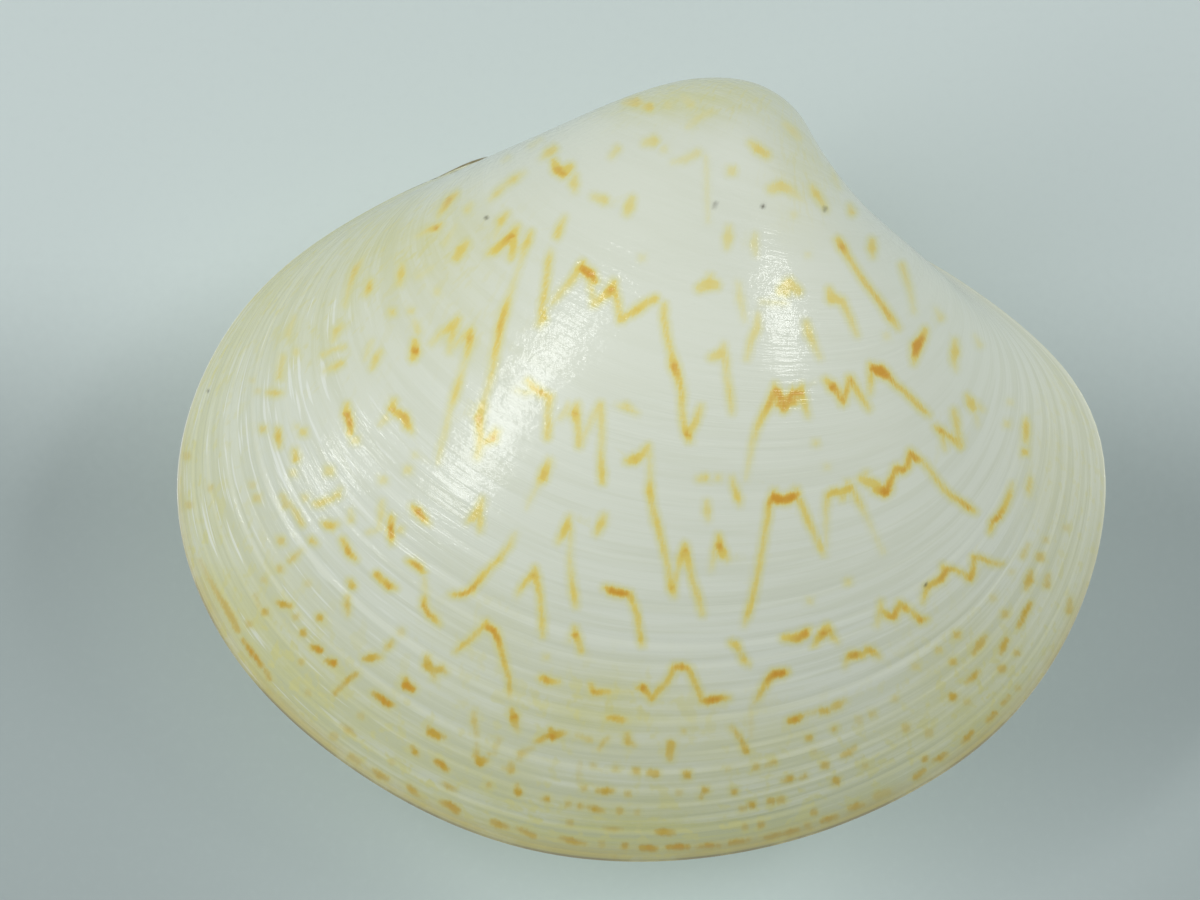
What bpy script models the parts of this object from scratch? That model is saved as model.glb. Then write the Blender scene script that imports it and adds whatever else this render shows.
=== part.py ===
"""Closed bivalve shell: two hollow valves and the ligament that joins them behind the beaks.

Each valve is modelled the way a clam grows. Its outline was the same when it was young, only
smaller, and rolled up about the hinge. So the outer face is a stack of growth rings: the margin's
outline, shrunk towards the beak and turned about an axis along the hinge, until it ends in the
tip of the beak. The shell lies on its left valve, as it settles on a table.

Shell frame, before it is laid down: X points to the front end (the short end, which the beaks
lean to), Y up from the belly to the hinge, Z out of the right valve. The beak's tip is at 0, 0.
"""

import math

import bpy
import numpy as np
from mathutils import Matrix

MM = 0.001

# Outline of the meeting edges, from the beak round the front, the belly and the back, in mm
MARGIN_MM = (
    (0.4, -0.6),  # under the beak
    (1.4, -1.4),
    (3.0, -2.35),  # lunule, the hollow heart in front of the beaks
    (4.75, -3.15),
    (7.0, -4.5),
    (10.65, -7.7),
    (12.15, -11.5),  # front end
    (11.3, -16.6),
    (8.7, -20.9),
    (4.95, -23.85),
    (-1.2, -26.2),  # deepest point of the belly
    (-9.75, -26.3),
    (-17.2, -22.9),
    (-21.95, -18.05),
    (-23.7, -11.85),  # back end
    (-21.25, -5.4),
    (-16.4, -1.5),
    (-10.8, 0.45),  # end of the ligament
    (-4.5, -0.3),
)

# Growth: turn is how far a ring has rolled up about the hinge, in radians, 0 at the margin
SHRINK_AT_MARGIN = 0.51  # share of its size that a ring loses for each radian
SHRINK_AT_UMBO = 0.815
SHRINK_CHANGES_OVER = 0.276
LAST_TURN = 3.043
BEAK_SHARPNESS = 5.4
BEAK_ROUNDNESS = 0.6
HINGE_AXIS_DROP = math.radians(12.1)  # the axis falls towards the front
HINGE_AXIS_OUT = math.radians(9.0)  # and leans out of the meeting plane
UMBO_NARROWS = 0.19
UMBO_SHIFT = 0.85 * MM  # the umbo swells backwards behind the beak's tip
UMBO_SHIFT_FROM = 0.5

# Walls and edges
WALL = 1.1 * MM
HINGE_PLATE = 1.5 * MM  # extra depth of the wall along the hinge
HINGE_PLATE_BELOW = 1.5 * MM
HINGE_PLATE_FADES = 4.5 * MM
CAVITY_LAST_TURN = 1.65
RIM_STEP = 0.45
MEETING_GAP = 0.3 * MM
BEAKS_APART = 0.6 * MM
BEAKS_PART_FROM = 0.25
BEAKS_PART_BY = 1.2
GROOVE_HALF_WIDTH = 0.95 * MM
GROOVE_DEPTH = 1.35 * MM

# Ligament, along the margin behind the beaks
LIGAMENT_FRONT_X = -1.6 * MM
LIGAMENT_BACK_X = -13.2 * MM
LIGAMENT_CLEARANCE = 0.3 * MM
LIGAMENT_RISE = 0.55 * MM
LIGAMENT_SECTIONS = 26
LIGAMENT_SIDES = 12

# How it lies: the belly side comes down, and the shell rolls a little towards its back end
BELLY_DOWN = math.radians(6.5)
BACK_DOWN = math.radians(5.5)
FLAT_DEPTH = 0.3 * MM

COLUMNS = 44
OUTER_RINGS = 33
CAVITY_RINGS = 12
RING_CROWDING = 1.25

SHELL_COLOUR = (0.74, 0.74, 0.60, 1.0)
LIGAMENT_COLOUR = (0.16, 0.10, 0.035, 1.0)


def smooth_loop(points, count):
    """Closed cubic spline through the points, read at count even steps of its parameter."""
    total = len(points)
    after = np.roll(points, -1, axis=0)
    step = np.sqrt(np.linalg.norm(after - points, axis=1))
    system = np.zeros((total, total))
    right = np.zeros_like(points)
    for i in range(total):
        j = (i + 1) % total
        before, ahead = step[i - 1], step[i]
        system[i, i - 1] += ahead
        system[i, i] += 2.0 * (before + ahead)
        system[i, j] += before
        right[i] = 3.0 * (
            ahead / before * (points[i] - points[i - 1])
            + before / ahead * (points[j] - points[i])
        )
    slope = np.linalg.solve(system, right)
    ends = np.concatenate([[0.0], np.cumsum(step)])
    place = np.linspace(0.0, ends[-1], count, endpoint=False)
    span = np.searchsorted(ends, place, side="right") - 1
    width = step[span][:, None]
    s = ((place - ends[span]) / step[span])[:, None]
    return (
        (2 * s**3 - 3 * s**2 + 1) * points[span]
        + (s**3 - 2 * s**2 + s) * width * slope[span]
        + (3 * s**2 - 2 * s**3) * after[span]
        + (s**3 - s**2) * width * np.roll(slope, -1, axis=0)[span]
    )


def eased(value, low, high):
    """0 up to low, 1 from high on, and a smooth rise between them."""
    share = np.clip((value - low) / (high - low), 0.0, 1.0)
    return share * share * (3.0 - 2.0 * share)


def ring_size(turn):
    """Size of the growth ring at a turn: 1 at the margin, nothing at the beak's tip."""
    drop = SHRINK_AT_UMBO - SHRINK_AT_MARGIN
    slow = drop * SHRINK_CHANGES_OVER * (1.0 - math.exp(-turn / SHRINK_CHANGES_OVER))
    closing = 1.0 - min(turn / LAST_TURN, 1.0) ** BEAK_SHARPNESS
    return math.exp(slow - SHRINK_AT_UMBO * turn) * closing**BEAK_ROUNDNESS


def groove_height(x):
    """Height of each valve's edge over the meeting plane where the ligament lies between them."""
    front = eased(-x, -LIGAMENT_FRONT_X - 1.4 * MM, -LIGAMENT_FRONT_X + 0.8 * MM)
    back = 1.0 - eased(-x, -LIGAMENT_BACK_X - 1.5 * MM, -LIGAMENT_BACK_X + 1.0 * MM)
    return GROOVE_HALF_WIDTH * front * back


def hinge_side(outline):
    """1 along the hinge and 0 on the rest of the margin."""
    return eased(outline[:, 1], -HINGE_PLATE_BELOW - HINGE_PLATE_FADES, -HINGE_PLATE_BELOW)


def growth_ring(outline, turn):
    """The outline as it was when the shell was younger, in place on the right valve."""
    drop, out = -HINGE_AXIS_DROP, HINGE_AXIS_OUT
    axis = np.array([
        math.cos(drop) * math.cos(out),
        math.sin(drop) * math.cos(out),
        math.sin(out),
    ])
    flat = np.column_stack([outline, np.zeros(len(outline))])
    along = np.outer(flat @ axis, axis)
    across = (flat - along) * math.cos(turn) - np.cross(axis, flat) * math.sin(turn)
    narrow = 1.0 - UMBO_NARROWS * eased(turn, 0.7, 2.1)
    ring = (across + along * narrow) * ring_size(turn)
    share = max(turn - UMBO_SHIFT_FROM, 0.0) / (LAST_TURN - UMBO_SHIFT_FROM)
    ring[:, 0] -= UMBO_SHIFT * math.sin(math.pi * min(share, 1.0) ** 1.3) ** 2
    return ring


def lift_from_plane(ring, outline, turn):
    """Keeps a ring clear of the other valve, of the ligament and of the other beak."""
    floor = 0.5 * MEETING_GAP + 0.5 * BEAKS_APART * eased(turn, BEAKS_PART_FROM, BEAKS_PART_BY)
    near_hinge = eased(outline[:, 1], -4.0 * MM, -1.5 * MM)
    floor = floor + groove_height(ring[:, 0]) * near_hinge
    lifted = ring.copy()
    softness = 0.12 * MM
    above = ring[:, 2] - floor
    lifted[:, 2] = floor + 0.5 * (above + np.sqrt(above**2 + softness**2)) - 0.5 * softness
    lifted[:, 2] = np.maximum(lifted[:, 2], floor)
    return lifted


def outer_rings(outline):
    """Rings of the outer face, from the margin to the beak."""
    rings = []
    for k in range(OUTER_RINGS):
        turn = LAST_TURN * (1.0 - (1.0 - k / OUTER_RINGS) ** RING_CROWDING)
        rings.append(lift_from_plane(growth_ring(outline, turn), outline, turn))
    return rings


def inward(ring, depth):
    """A ring moved towards its own middle by a depth for each point."""
    middle = ring.mean(axis=0)
    reach = np.linalg.norm(ring - middle, axis=1)
    share = np.maximum(1.0 - depth / reach, 0.4)
    return middle + (ring - middle) * share[:, None]


def cavity_rings(outline):
    """Rings of the inner face, from the margin to the hollow of the umbo."""
    hinge = hinge_side(outline)
    depth = WALL + (WALL + HINGE_PLATE) * hinge
    plane = 0.5 * MEETING_GAP
    rim = inward(growth_ring(outline, 0.0), RIM_STEP * WALL + (GROOVE_DEPTH - RIM_STEP * WALL) * hinge)
    rim[:, 2] = plane
    rings = [rim]
    for k in range(CAVITY_RINGS):
        share = k / CAVITY_RINGS
        turn = CAVITY_LAST_TURN * share
        ring = inward(growth_ring(outline, turn), depth * (1.0 + 0.25 * share))
        middle = ring.mean(axis=0)
        ring = middle + (ring - middle) * math.sqrt(1.0 - share**4)
        ring[:, 2] = np.maximum(ring[:, 2], plane + 1.5 * MM * share * hinge)
        rings.append(ring)
    return rings


def tube_faces(ring_count, columns):
    """Quads that join neighbouring rings, and the index of each quad's corners."""
    faces = []
    for k in range(ring_count - 1):
        for j in range(columns):
            near, far = k * columns, (k + 1) * columns
            side = (j + 1) % columns
            faces.append((near + j, near + side, far + side, far + j))
    return faces


def closed_loft(name, rings, first_tip, last_tip):
    """A closed mesh through a row of rings, with a point at each end."""
    columns = len(rings[0])
    points = [tuple(p) for ring in rings for p in ring]
    faces = tube_faces(len(rings), columns)
    start, end = len(points), len(points) + 1
    last = (len(rings) - 1) * columns
    for j in range(columns):
        side = (j + 1) % columns
        faces.append((start, side, j))
        faces.append((end, last + j, last + side))
    points += [tuple(first_tip), tuple(last_tip)]
    mesh = bpy.data.meshes.new(name)
    mesh.from_pydata(points, [], faces)
    mesh.validate()
    return mesh


def lying_down():
    """Turns the shell frame into the way the shell lies on a table."""
    return Matrix.Rotation(BELLY_DOWN, 4, "X") @ Matrix.Rotation(-BACK_DOWN, 4, "Y")


def make_valve(name, outline, side):
    """One valve. side is 1 for the right valve, on top, and -1 for the left one, underneath."""
    outer = outer_rings(outline)
    inner = cavity_rings(outline)
    rings = outer[::-1] + inner
    mesh = closed_loft(name, rings, outer[-1].mean(axis=0), inner[-1].mean(axis=0))
    if side < 0:
        mesh.transform(Matrix.Scale(-1.0, 4, (0.0, 0.0, 1.0)))
        mesh.flip_normals()
    mesh.transform(lying_down())
    return bpy.data.objects.new(name, mesh)


def ligament_section(outline, x):
    """A rounded wedge across the meeting plane: its foot in the groove, its back in the open."""
    hinge = outline[outline[:, 1] > -3.0 * MM]
    hinge = hinge[np.argsort(hinge[:, 0])]
    edge = np.interp(x, hinge[:, 0], hinge[:, 1])
    room = max(groove_height(np.array([x]))[0] + 0.5 * MEETING_GAP - LIGAMENT_CLEARANCE, 0.06 * MM)
    fullness = room / GROOVE_HALF_WIDTH
    section = []
    for k in range(LIGAMENT_SIDES):
        angle = 2.0 * math.pi * k / LIGAMENT_SIDES
        up, out = math.sin(angle), math.cos(angle)
        height = LIGAMENT_RISE * fullness * up if up > 0 else (GROOVE_DEPTH - 0.45 * MM) * fullness * up
        narrowing = 1.0 if up > 0 else 1.0 + 0.45 * up
        section.append((x, edge + height, room * out * narrowing))
    return np.array(section)


def make_ligament(name, outline):
    """The dark strip that springs the valves apart, along the margin behind the beaks."""
    sections = []
    for k in range(LIGAMENT_SECTIONS):
        share = 0.5 - 0.5 * math.cos(math.pi * k / (LIGAMENT_SECTIONS - 1))
        x = LIGAMENT_FRONT_X + (LIGAMENT_BACK_X - LIGAMENT_FRONT_X) * share
        sections.append(ligament_section(outline, x))
    mesh = closed_loft(name, sections, sections[0].mean(axis=0), sections[-1].mean(axis=0))
    mesh.transform(lying_down())
    return bpy.data.objects.new(name, mesh)


def put_on_table(valve, objects):
    """Gives the lower valve its small flat resting spot, and sets its middle at the origin."""
    places = np.array([v.co for v in valve.data.vertices])
    table = places[:, 2].min() + FLAT_DEPTH
    resting = places[:, 2] < table
    middle = places[resting].mean(axis=0)
    for vertex in valve.data.vertices:
        vertex.co.z = max(vertex.co.z, table)
    for item in objects:
        item.data.transform(Matrix.Translation((-middle[0], -middle[1], -table)))


def plain_material(name, colour, roughness):
    material = bpy.data.materials.new(name)
    material.use_nodes = True
    shader = material.node_tree.nodes["Principled BSDF"]
    shader.inputs["Base Color"].default_value = colour
    shader.inputs["Roughness"].default_value = roughness
    shader.inputs["Metallic"].default_value = 0.0
    material.diffuse_color = colour
    return material


def main():
    for item in list(bpy.data.objects):
        bpy.data.objects.remove(item)
    outline = smooth_loop(np.array(MARGIN_MM) * MM, COLUMNS)
    right = make_valve("right_valve", outline, 1)
    left = make_valve("left_valve", outline, -1)
    ligament = make_ligament("ligament", outline)
    objects = (right, left, ligament)
    put_on_table(left, objects)
    shell = plain_material("shell", SHELL_COLOUR, 0.3)
    horn = plain_material("horn", LIGAMENT_COLOUR, 0.5)
    collection = bpy.data.collections.new("pitar_pellucidus")
    bpy.context.scene.collection.children.link(collection)
    for item in objects:
        collection.objects.link(item)
        item.data.materials.append(horn if item is ligament else shell)
        item.data.shade_smooth()


main()
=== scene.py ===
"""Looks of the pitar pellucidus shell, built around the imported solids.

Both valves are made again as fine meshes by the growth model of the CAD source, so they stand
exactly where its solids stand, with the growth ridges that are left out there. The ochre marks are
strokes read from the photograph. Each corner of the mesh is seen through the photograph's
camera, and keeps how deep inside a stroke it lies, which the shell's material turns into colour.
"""

import math

import bpy
import numpy as np
from mathutils import Matrix, Vector


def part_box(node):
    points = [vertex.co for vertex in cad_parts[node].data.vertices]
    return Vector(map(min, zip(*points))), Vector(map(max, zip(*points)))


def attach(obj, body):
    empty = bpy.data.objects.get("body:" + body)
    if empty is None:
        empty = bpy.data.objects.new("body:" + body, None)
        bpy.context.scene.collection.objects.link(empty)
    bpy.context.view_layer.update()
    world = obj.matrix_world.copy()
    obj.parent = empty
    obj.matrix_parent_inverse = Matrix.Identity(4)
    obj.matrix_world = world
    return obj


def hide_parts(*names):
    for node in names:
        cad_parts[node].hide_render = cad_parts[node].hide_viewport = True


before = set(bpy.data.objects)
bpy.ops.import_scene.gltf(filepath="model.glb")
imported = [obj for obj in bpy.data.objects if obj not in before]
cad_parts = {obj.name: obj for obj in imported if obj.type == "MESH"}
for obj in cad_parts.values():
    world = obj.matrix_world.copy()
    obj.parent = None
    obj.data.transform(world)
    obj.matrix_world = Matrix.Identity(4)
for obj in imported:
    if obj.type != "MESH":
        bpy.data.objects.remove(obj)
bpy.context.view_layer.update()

MM = 0.001

# Outline of the meeting edges, from the beak round the front, the belly and the back, in mm
# Its points were read, and then moved by a least-squares fit to the photograph's outline
MARGIN_MM = (
    (0.4, -0.6),
    (1.4, -1.4),
    (3.0, -2.35),
    (4.75, -3.15),
    (7.0, -4.5),
    (10.65, -7.7),
    (12.15, -11.5),
    (11.3, -16.6),
    (8.7, -20.9),
    (4.95, -23.85),
    (-1.2, -26.2),
    (-9.75, -26.3),
    (-17.2, -22.9),
    (-21.95, -18.05),
    (-23.7, -11.85),
    (-21.25, -5.4),
    (-16.4, -1.5),
    (-10.8, 0.45),
    (-4.5, -0.3),
)

# Growth, as in the CAD source: turn is how far a ring has rolled up about the hinge, in radians
SHRINK_AT_MARGIN = 0.51
SHRINK_AT_UMBO = 0.815
SHRINK_CHANGES_OVER = 0.276
LAST_TURN = 3.043
BEAK_SHARPNESS = 5.4
BEAK_ROUNDNESS = 0.6
HINGE_AXIS_DROP = math.radians(12.1)
HINGE_AXIS_OUT = math.radians(9.0)
UMBO_NARROWS = 0.19
UMBO_SHIFT = 0.85 * MM
UMBO_SHIFT_FROM = 0.5
WALL = 1.1 * MM
HINGE_PLATE = 1.5 * MM
HINGE_PLATE_BELOW = 1.5 * MM
HINGE_PLATE_FADES = 4.5 * MM
CAVITY_LAST_TURN = 1.65
CAVITY_DEEPENS = 0.25
CAVITY_CLEARS = 1.5 * MM
LEAST_LEFT = 0.4
RIM_STEP = 0.45
CAD_MEETING_GAP = 0.3 * MM
BEAKS_APART = 0.6 * MM
BEAKS_PART_FROM = 0.25
BEAKS_PART_BY = 1.2
UMBO_NARROWS_OVER = (0.7, 2.1)
HINGE_BAND = (-4.0 * MM, -1.5 * MM)
LIFT_SOFTNESS = 0.12 * MM
GROOVE_HALF_WIDTH = 0.95 * MM
GROOVE_DEPTH = 1.35 * MM
LIGAMENT_FRONT_X = -1.6 * MM
LIGAMENT_BACK_X = -13.2 * MM
# The groove opens and closes round these two ends, from so far in front of each to so far behind it
GROOVE_OPENS = (1.4 * MM, 0.8 * MM)
GROOVE_CLOSES = (1.5 * MM, 1.0 * MM)
BELLY_DOWN = math.radians(6.5)
BACK_DOWN = math.radians(5.5)
CAD_COLUMNS = 44
CAD_RINGS = 33
CAD_RING_CROWDING = 1.25

# The fine mesh: cells round the shell and from the margin to the beak, split again under a mark
MEETING_GAP = 0.06 * MM
COLUMNS = 128
RINGS = 100
SPLIT_ROUND = 8
SPLIT_GROWTH = 4
LAST_RING = 0.985 * LAST_TURN
CAVITY_RINGS = 14
MARK_NEAR = -1.5
SPECK_NEAR = 0.02
# The longest that a cell may be, in mm: under a mark, in a pause, near the margin, and elsewhere
MARK_CELL_ROUND = 0.14
MARK_CELL_GROWTH = 0.095
PAUSE_CELL_GROWTH = 0.085
MARGIN_CELL_GROWTH = 0.19
MARGIN_CELLS_REACH = 16.0
PLAIN_CELL_ROUND = 0.70
PLAIN_CELL_GROWTH = 0.42
# The lattice is closer at the margin than at the beak, and closer in a pause the deeper it is
MARGIN_CROWDING = 1.6
PAUSE_CROWDING = 45.0
GROWTH_SAMPLES = 6001
# Steps that slopes are measured over, as shares of the way round and in mm of growth
ROUND_STEP = 0.0004
GROWTH_STEP = 0.02
RIDGE_STEP = 0.015
# A length that stands in for none at all, and what the inner face gets for its growth
TINY = 1e-18
GROWN_INSIDE = 30.0

# Shell grown between a ring and the margin, along the belly, in mm
GROWN_IN_ALL = 50.0
GROWTH_SLOWS = 0.65
GROWN_AT_BEAK = GROWN_IN_ALL * (1.0 - math.exp(-GROWTH_SLOWS * LAST_RING))

# Pauses in growth that stand out in the photograph: distance from the margin, depth and width, in mm
GROWTH_PAUSES = (
    (0.55, 0.020, 0.12),
    (1.15, 0.014, 0.12),
    (2.30, 0.034, 0.17),
    (3.05, 0.016, 0.14),
    (3.95, 0.022, 0.15),
    (4.75, 0.014, 0.14),
    (5.80, 0.028, 0.17),
    (6.70, 0.014, 0.14),
    (8.20, 0.042, 0.20),
    (9.30, 0.012, 0.15),
    (10.60, 0.018, 0.16),
    (11.40, 0.024, 0.17),
    (12.80, 0.014, 0.16),
    (14.60, 0.010, 0.18),
    (17.20, 0.009, 0.20),
)
# Share of those depths that the mesh gets
PAUSE_DEPTH = 0.80
# The lip beside each groove: its height as a share of the groove's depth, and its place in groove widths
LIP_HEIGHT = 0.6
LIP_PLACE = 1.7
# The front end is smoother: its place round the margin, the share of the relief that goes, and its spread
FRONT_COLUMN = 0.22
FRONT_SMOOTHER = 0.4
FRONT_SPREAD = (0.2, 0.9)
# The relief rises from the margin, and fades towards the umbo, over these stretches of growth in mm
RELIEF_STARTS = (0.0, 0.3)
RELIEF_FADES = (20.0, 34.0)
UMBO_SMOOTHER = 0.85
# Seeded fine lines: how far apart, how deep and how wide they are, in mm, and where they end
FINE_LINE_WIDTH = 0.126
FINE_LINE_SPACING = (0.42, 0.85)
FINE_LINE_DEPTH = (0.0005, 0.0016)
FINE_LINES_START = 0.3
FINE_LINES_END = 27.0
LINE_SEED = 11

# The ligament's own mesh, which thins out into both ends of its groove
STRIP_FRONT_X = -0.7 * MM
STRIP_BACK_X = -13.9 * MM
LIGAMENT_SECTIONS = 140
LIGAMENT_SIDES = 36
LIGAMENT_CLEARANCE = 0.05 * MM
LIGAMENT_SEAM = 0.05 * MM
LIGAMENT_SHOWS = 0.24 * MM
LIGAMENT_SINKS = GROOVE_DEPTH - 0.45 * MM
LIGAMENT_THINNEST = 0.03 * MM
SEAM_WIDTH = 0.12
FOOT_NARROWS = 0.45
HINGE_SAMPLES = 400
HINGE_ABOVE = -3.0 * MM

# The photograph's camera, in mm of the row frame, and its frame in pixels
PHOTO_WIDTH = 1200
PHOTO_HEIGHT = 900
CAMERA_AT_MM = (-11.86, -39.67, 185.19)
CAMERA_AIM_MM = (-1.90, -1.75, 9.51)
CAMERA_LENS = 139.05
SENSOR = 36.0
CAMERA_SEES_FROM = 0.001
CAMERA_SEES_TO = 10.0

# The floor and the light, in metres
FLOOR_REACH = 0.6
FLOOR_BELOW = 0.00002
# The floor's painted shade darkens it forward of FLOOR_LIGHT_AT, fully by FLOOR_DARK_AT, along y
FLOOR_LIGHT_AT = 0.009
FLOOR_DARK_AT = -0.003
# Pools of painted light, and one of painted shade, on the floor: x, y, reach along each, and how much
# brighter or darker
PAINTED_FLOOR_LIGHT = (
    (0.0, -8.0 * MM, 17.0 * MM, 13.0 * MM, 1.05),
    (-25.0 * MM, -1.0 * MM, 6.0 * MM, 8.0 * MM, -0.10),
    (0.5 * MM, -18.5 * MM, 9.0 * MM, 5.0 * MM, 0.45),
)
SHELL_MIDDLE = Vector((0.0, 0.0, 0.010))
LIGHT_COLOUR = (1.0, 1.0, 1.0)
WORLD_COLOUR = (0.90, 0.97, 1.0, 1.0)
WORLD_STRENGTH = 0.44


def eased(value, low, high):
    """0 up to low, 1 from high on, and a smooth rise between them."""
    share = np.clip((value - low) / (high - low), 0.0, 1.0)
    return share * share * (3.0 - 2.0 * share)


# The growth model


def spline_slopes(points, step):
    """Slopes of the closed cubic spline through the points."""
    total = len(points)
    system = np.zeros((total, total))
    right = np.zeros_like(points)
    for i in range(total):
        j = (i + 1) % total
        before, ahead = step[i - 1], step[i]
        system[i, i - 1] += ahead
        system[i, i] += 2.0 * (before + ahead)
        system[i, j] += before
        right[i] = 3.0 * (
            ahead / before * (points[i] - points[i - 1])
            + before / ahead * (points[j] - points[i])
        )
    return np.linalg.solve(system, right)


MARGIN = np.array(MARGIN_MM) * MM
MARGIN_AFTER = np.roll(MARGIN, -1, axis=0)
MARGIN_STEP = np.sqrt(np.linalg.norm(MARGIN_AFTER - MARGIN, axis=1))
MARGIN_SLOPE = spline_slopes(MARGIN, MARGIN_STEP)
MARGIN_ENDS = np.concatenate([[0.0], np.cumsum(MARGIN_STEP)])


def outline_at(column):
    """Points of the margin's outline. column runs from 0 to 1 round it."""
    place = np.mod(column, 1.0) * MARGIN_ENDS[-1]
    span = np.clip(np.searchsorted(MARGIN_ENDS, place, side="right") - 1, 0, len(MARGIN) - 1)
    width = MARGIN_STEP[span][:, None]
    s = ((place - MARGIN_ENDS[span]) / MARGIN_STEP[span])[:, None]
    return (
        (2 * s**3 - 3 * s**2 + 1) * MARGIN[span]
        + (s**3 - 2 * s**2 + s) * width * MARGIN_SLOPE[span]
        + (3 * s**2 - 2 * s**3) * MARGIN_AFTER[span]
        + (s**3 - s**2) * width * np.roll(MARGIN_SLOPE, -1, axis=0)[span]
    )


def ring_size(turn):
    """Size of the growth ring at a turn: 1 at the margin, nothing at the beak's tip."""
    drop = SHRINK_AT_UMBO - SHRINK_AT_MARGIN
    slow = drop * SHRINK_CHANGES_OVER * (1.0 - np.exp(-turn / SHRINK_CHANGES_OVER))
    closing = 1.0 - np.clip(turn / LAST_TURN, 0.0, 1.0) ** BEAK_SHARPNESS
    return np.exp(slow - SHRINK_AT_UMBO * turn) * closing**BEAK_ROUNDNESS


def groove_height(x):
    """Height of each valve's edge over the meeting plane where the ligament lies between them."""
    front = eased(-x, -LIGAMENT_FRONT_X - GROOVE_OPENS[0], -LIGAMENT_FRONT_X + GROOVE_OPENS[1])
    back = 1.0 - eased(-x, -LIGAMENT_BACK_X - GROOVE_CLOSES[0], -LIGAMENT_BACK_X + GROOVE_CLOSES[1])
    return GROOVE_HALF_WIDTH * front * back


def growth_ring(outline, turn):
    """Points of the outline as it was when the shell was younger, in place on the right valve."""
    drop, out = -HINGE_AXIS_DROP, HINGE_AXIS_OUT
    axis = np.array([
        math.cos(drop) * math.cos(out),
        math.sin(drop) * math.cos(out),
        math.sin(out),
    ])
    flat = np.column_stack([outline, np.zeros(len(outline))])
    along = np.outer(flat @ axis, axis)
    across = (flat - along) * np.cos(turn)[:, None] - np.cross(axis, flat) * np.sin(turn)[:, None]
    narrow = 1.0 - UMBO_NARROWS * eased(turn, *UMBO_NARROWS_OVER)
    ring = (across + along * narrow[:, None]) * ring_size(turn)[:, None]
    share = np.clip((turn - UMBO_SHIFT_FROM) / (LAST_TURN - UMBO_SHIFT_FROM), 0.0, 1.0)
    ring[:, 0] -= UMBO_SHIFT * np.sin(math.pi * share**1.3) ** 2
    return ring


def lift_from_plane(ring, outline, turn, gap):
    """Keeps points clear of the other valve, of the ligament and of the other beak."""
    floor = 0.5 * gap + 0.5 * BEAKS_APART * eased(turn, BEAKS_PART_FROM, BEAKS_PART_BY)
    near_hinge = eased(outline[:, 1], *HINGE_BAND)
    floor = floor + groove_height(ring[:, 0]) * near_hinge
    above = ring[:, 2] - floor
    lifted = ring.copy()
    lifted[:, 2] = floor + 0.5 * (above + np.sqrt(above**2 + LIFT_SOFTNESS**2)) - 0.5 * LIFT_SOFTNESS
    lifted[:, 2] = np.maximum(lifted[:, 2], floor)
    return lifted


def outer_face(column, turn, gap=MEETING_GAP):
    """Points of the right valve's smooth outer face, in the shell frame."""
    outline = outline_at(column)
    return lift_from_plane(growth_ring(outline, turn), outline, turn, gap)


def turn_of(grown):
    """The turn of the ring with so much growth between it and the margin."""
    return -np.log(1.0 - grown / GROWN_IN_ALL) / GROWTH_SLOWS


# From the shell frame to the row frame


def lying_down():
    """Turns the shell frame into the way the shell lies on a table."""
    return Matrix.Rotation(BELLY_DOWN, 4, "X") @ Matrix.Rotation(-BACK_DOWN, 4, "Y")


LYING = np.array(lying_down().to_3x3())


def find_beak():
    """Place of the beak's tip in the row frame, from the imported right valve's lowest corner."""
    rings = 1.0 - np.arange(CAD_RINGS) / CAD_RINGS
    turns = LAST_TURN * (1.0 - rings**CAD_RING_CROWDING)
    columns = np.tile(np.arange(CAD_COLUMNS) / CAD_COLUMNS, CAD_RINGS)
    points = outer_face(columns, np.repeat(turns, CAD_COLUMNS), CAD_MEETING_GAP) @ LYING.T
    low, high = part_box("right_valve")
    return 0.5 * (np.array(low) + np.array(high) - points.min(axis=0) - points.max(axis=0))


BEAK = find_beak()


def in_row_frame(points, side):
    """Points of the right valve's side of the shell frame, or mirrored for the left valve."""
    return points * (1.0, 1.0, side) @ LYING.T + BEAK


# The photograph's camera


def camera_axes():
    """Right, up and back of the camera, in the row frame."""
    back = (Vector(CAMERA_AT_MM) - Vector(CAMERA_AIM_MM)).normalized()
    right = Vector((0.0, 1.0, 0.0)).cross(back).normalized()
    return right, back.cross(right), back


def seen_at(points):
    """Where the photograph's camera sees points of the row frame, in the photo's pixels."""
    right, up, back = (np.array(axis) for axis in camera_axes())
    away = points - np.array(CAMERA_AT_MM) * MM
    scale = CAMERA_LENS / SENSOR * PHOTO_WIDTH / -(away @ back)
    return np.column_stack([
        0.5 * PHOTO_WIDTH + scale * (away @ right),
        0.5 * PHOTO_HEIGHT - scale * (away @ up),
    ])


# The ochre marks, as strokes read from the photograph
# A stroke's points are x, y and half its width there, in the photo's pixels, and its strength in hundredths

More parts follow.
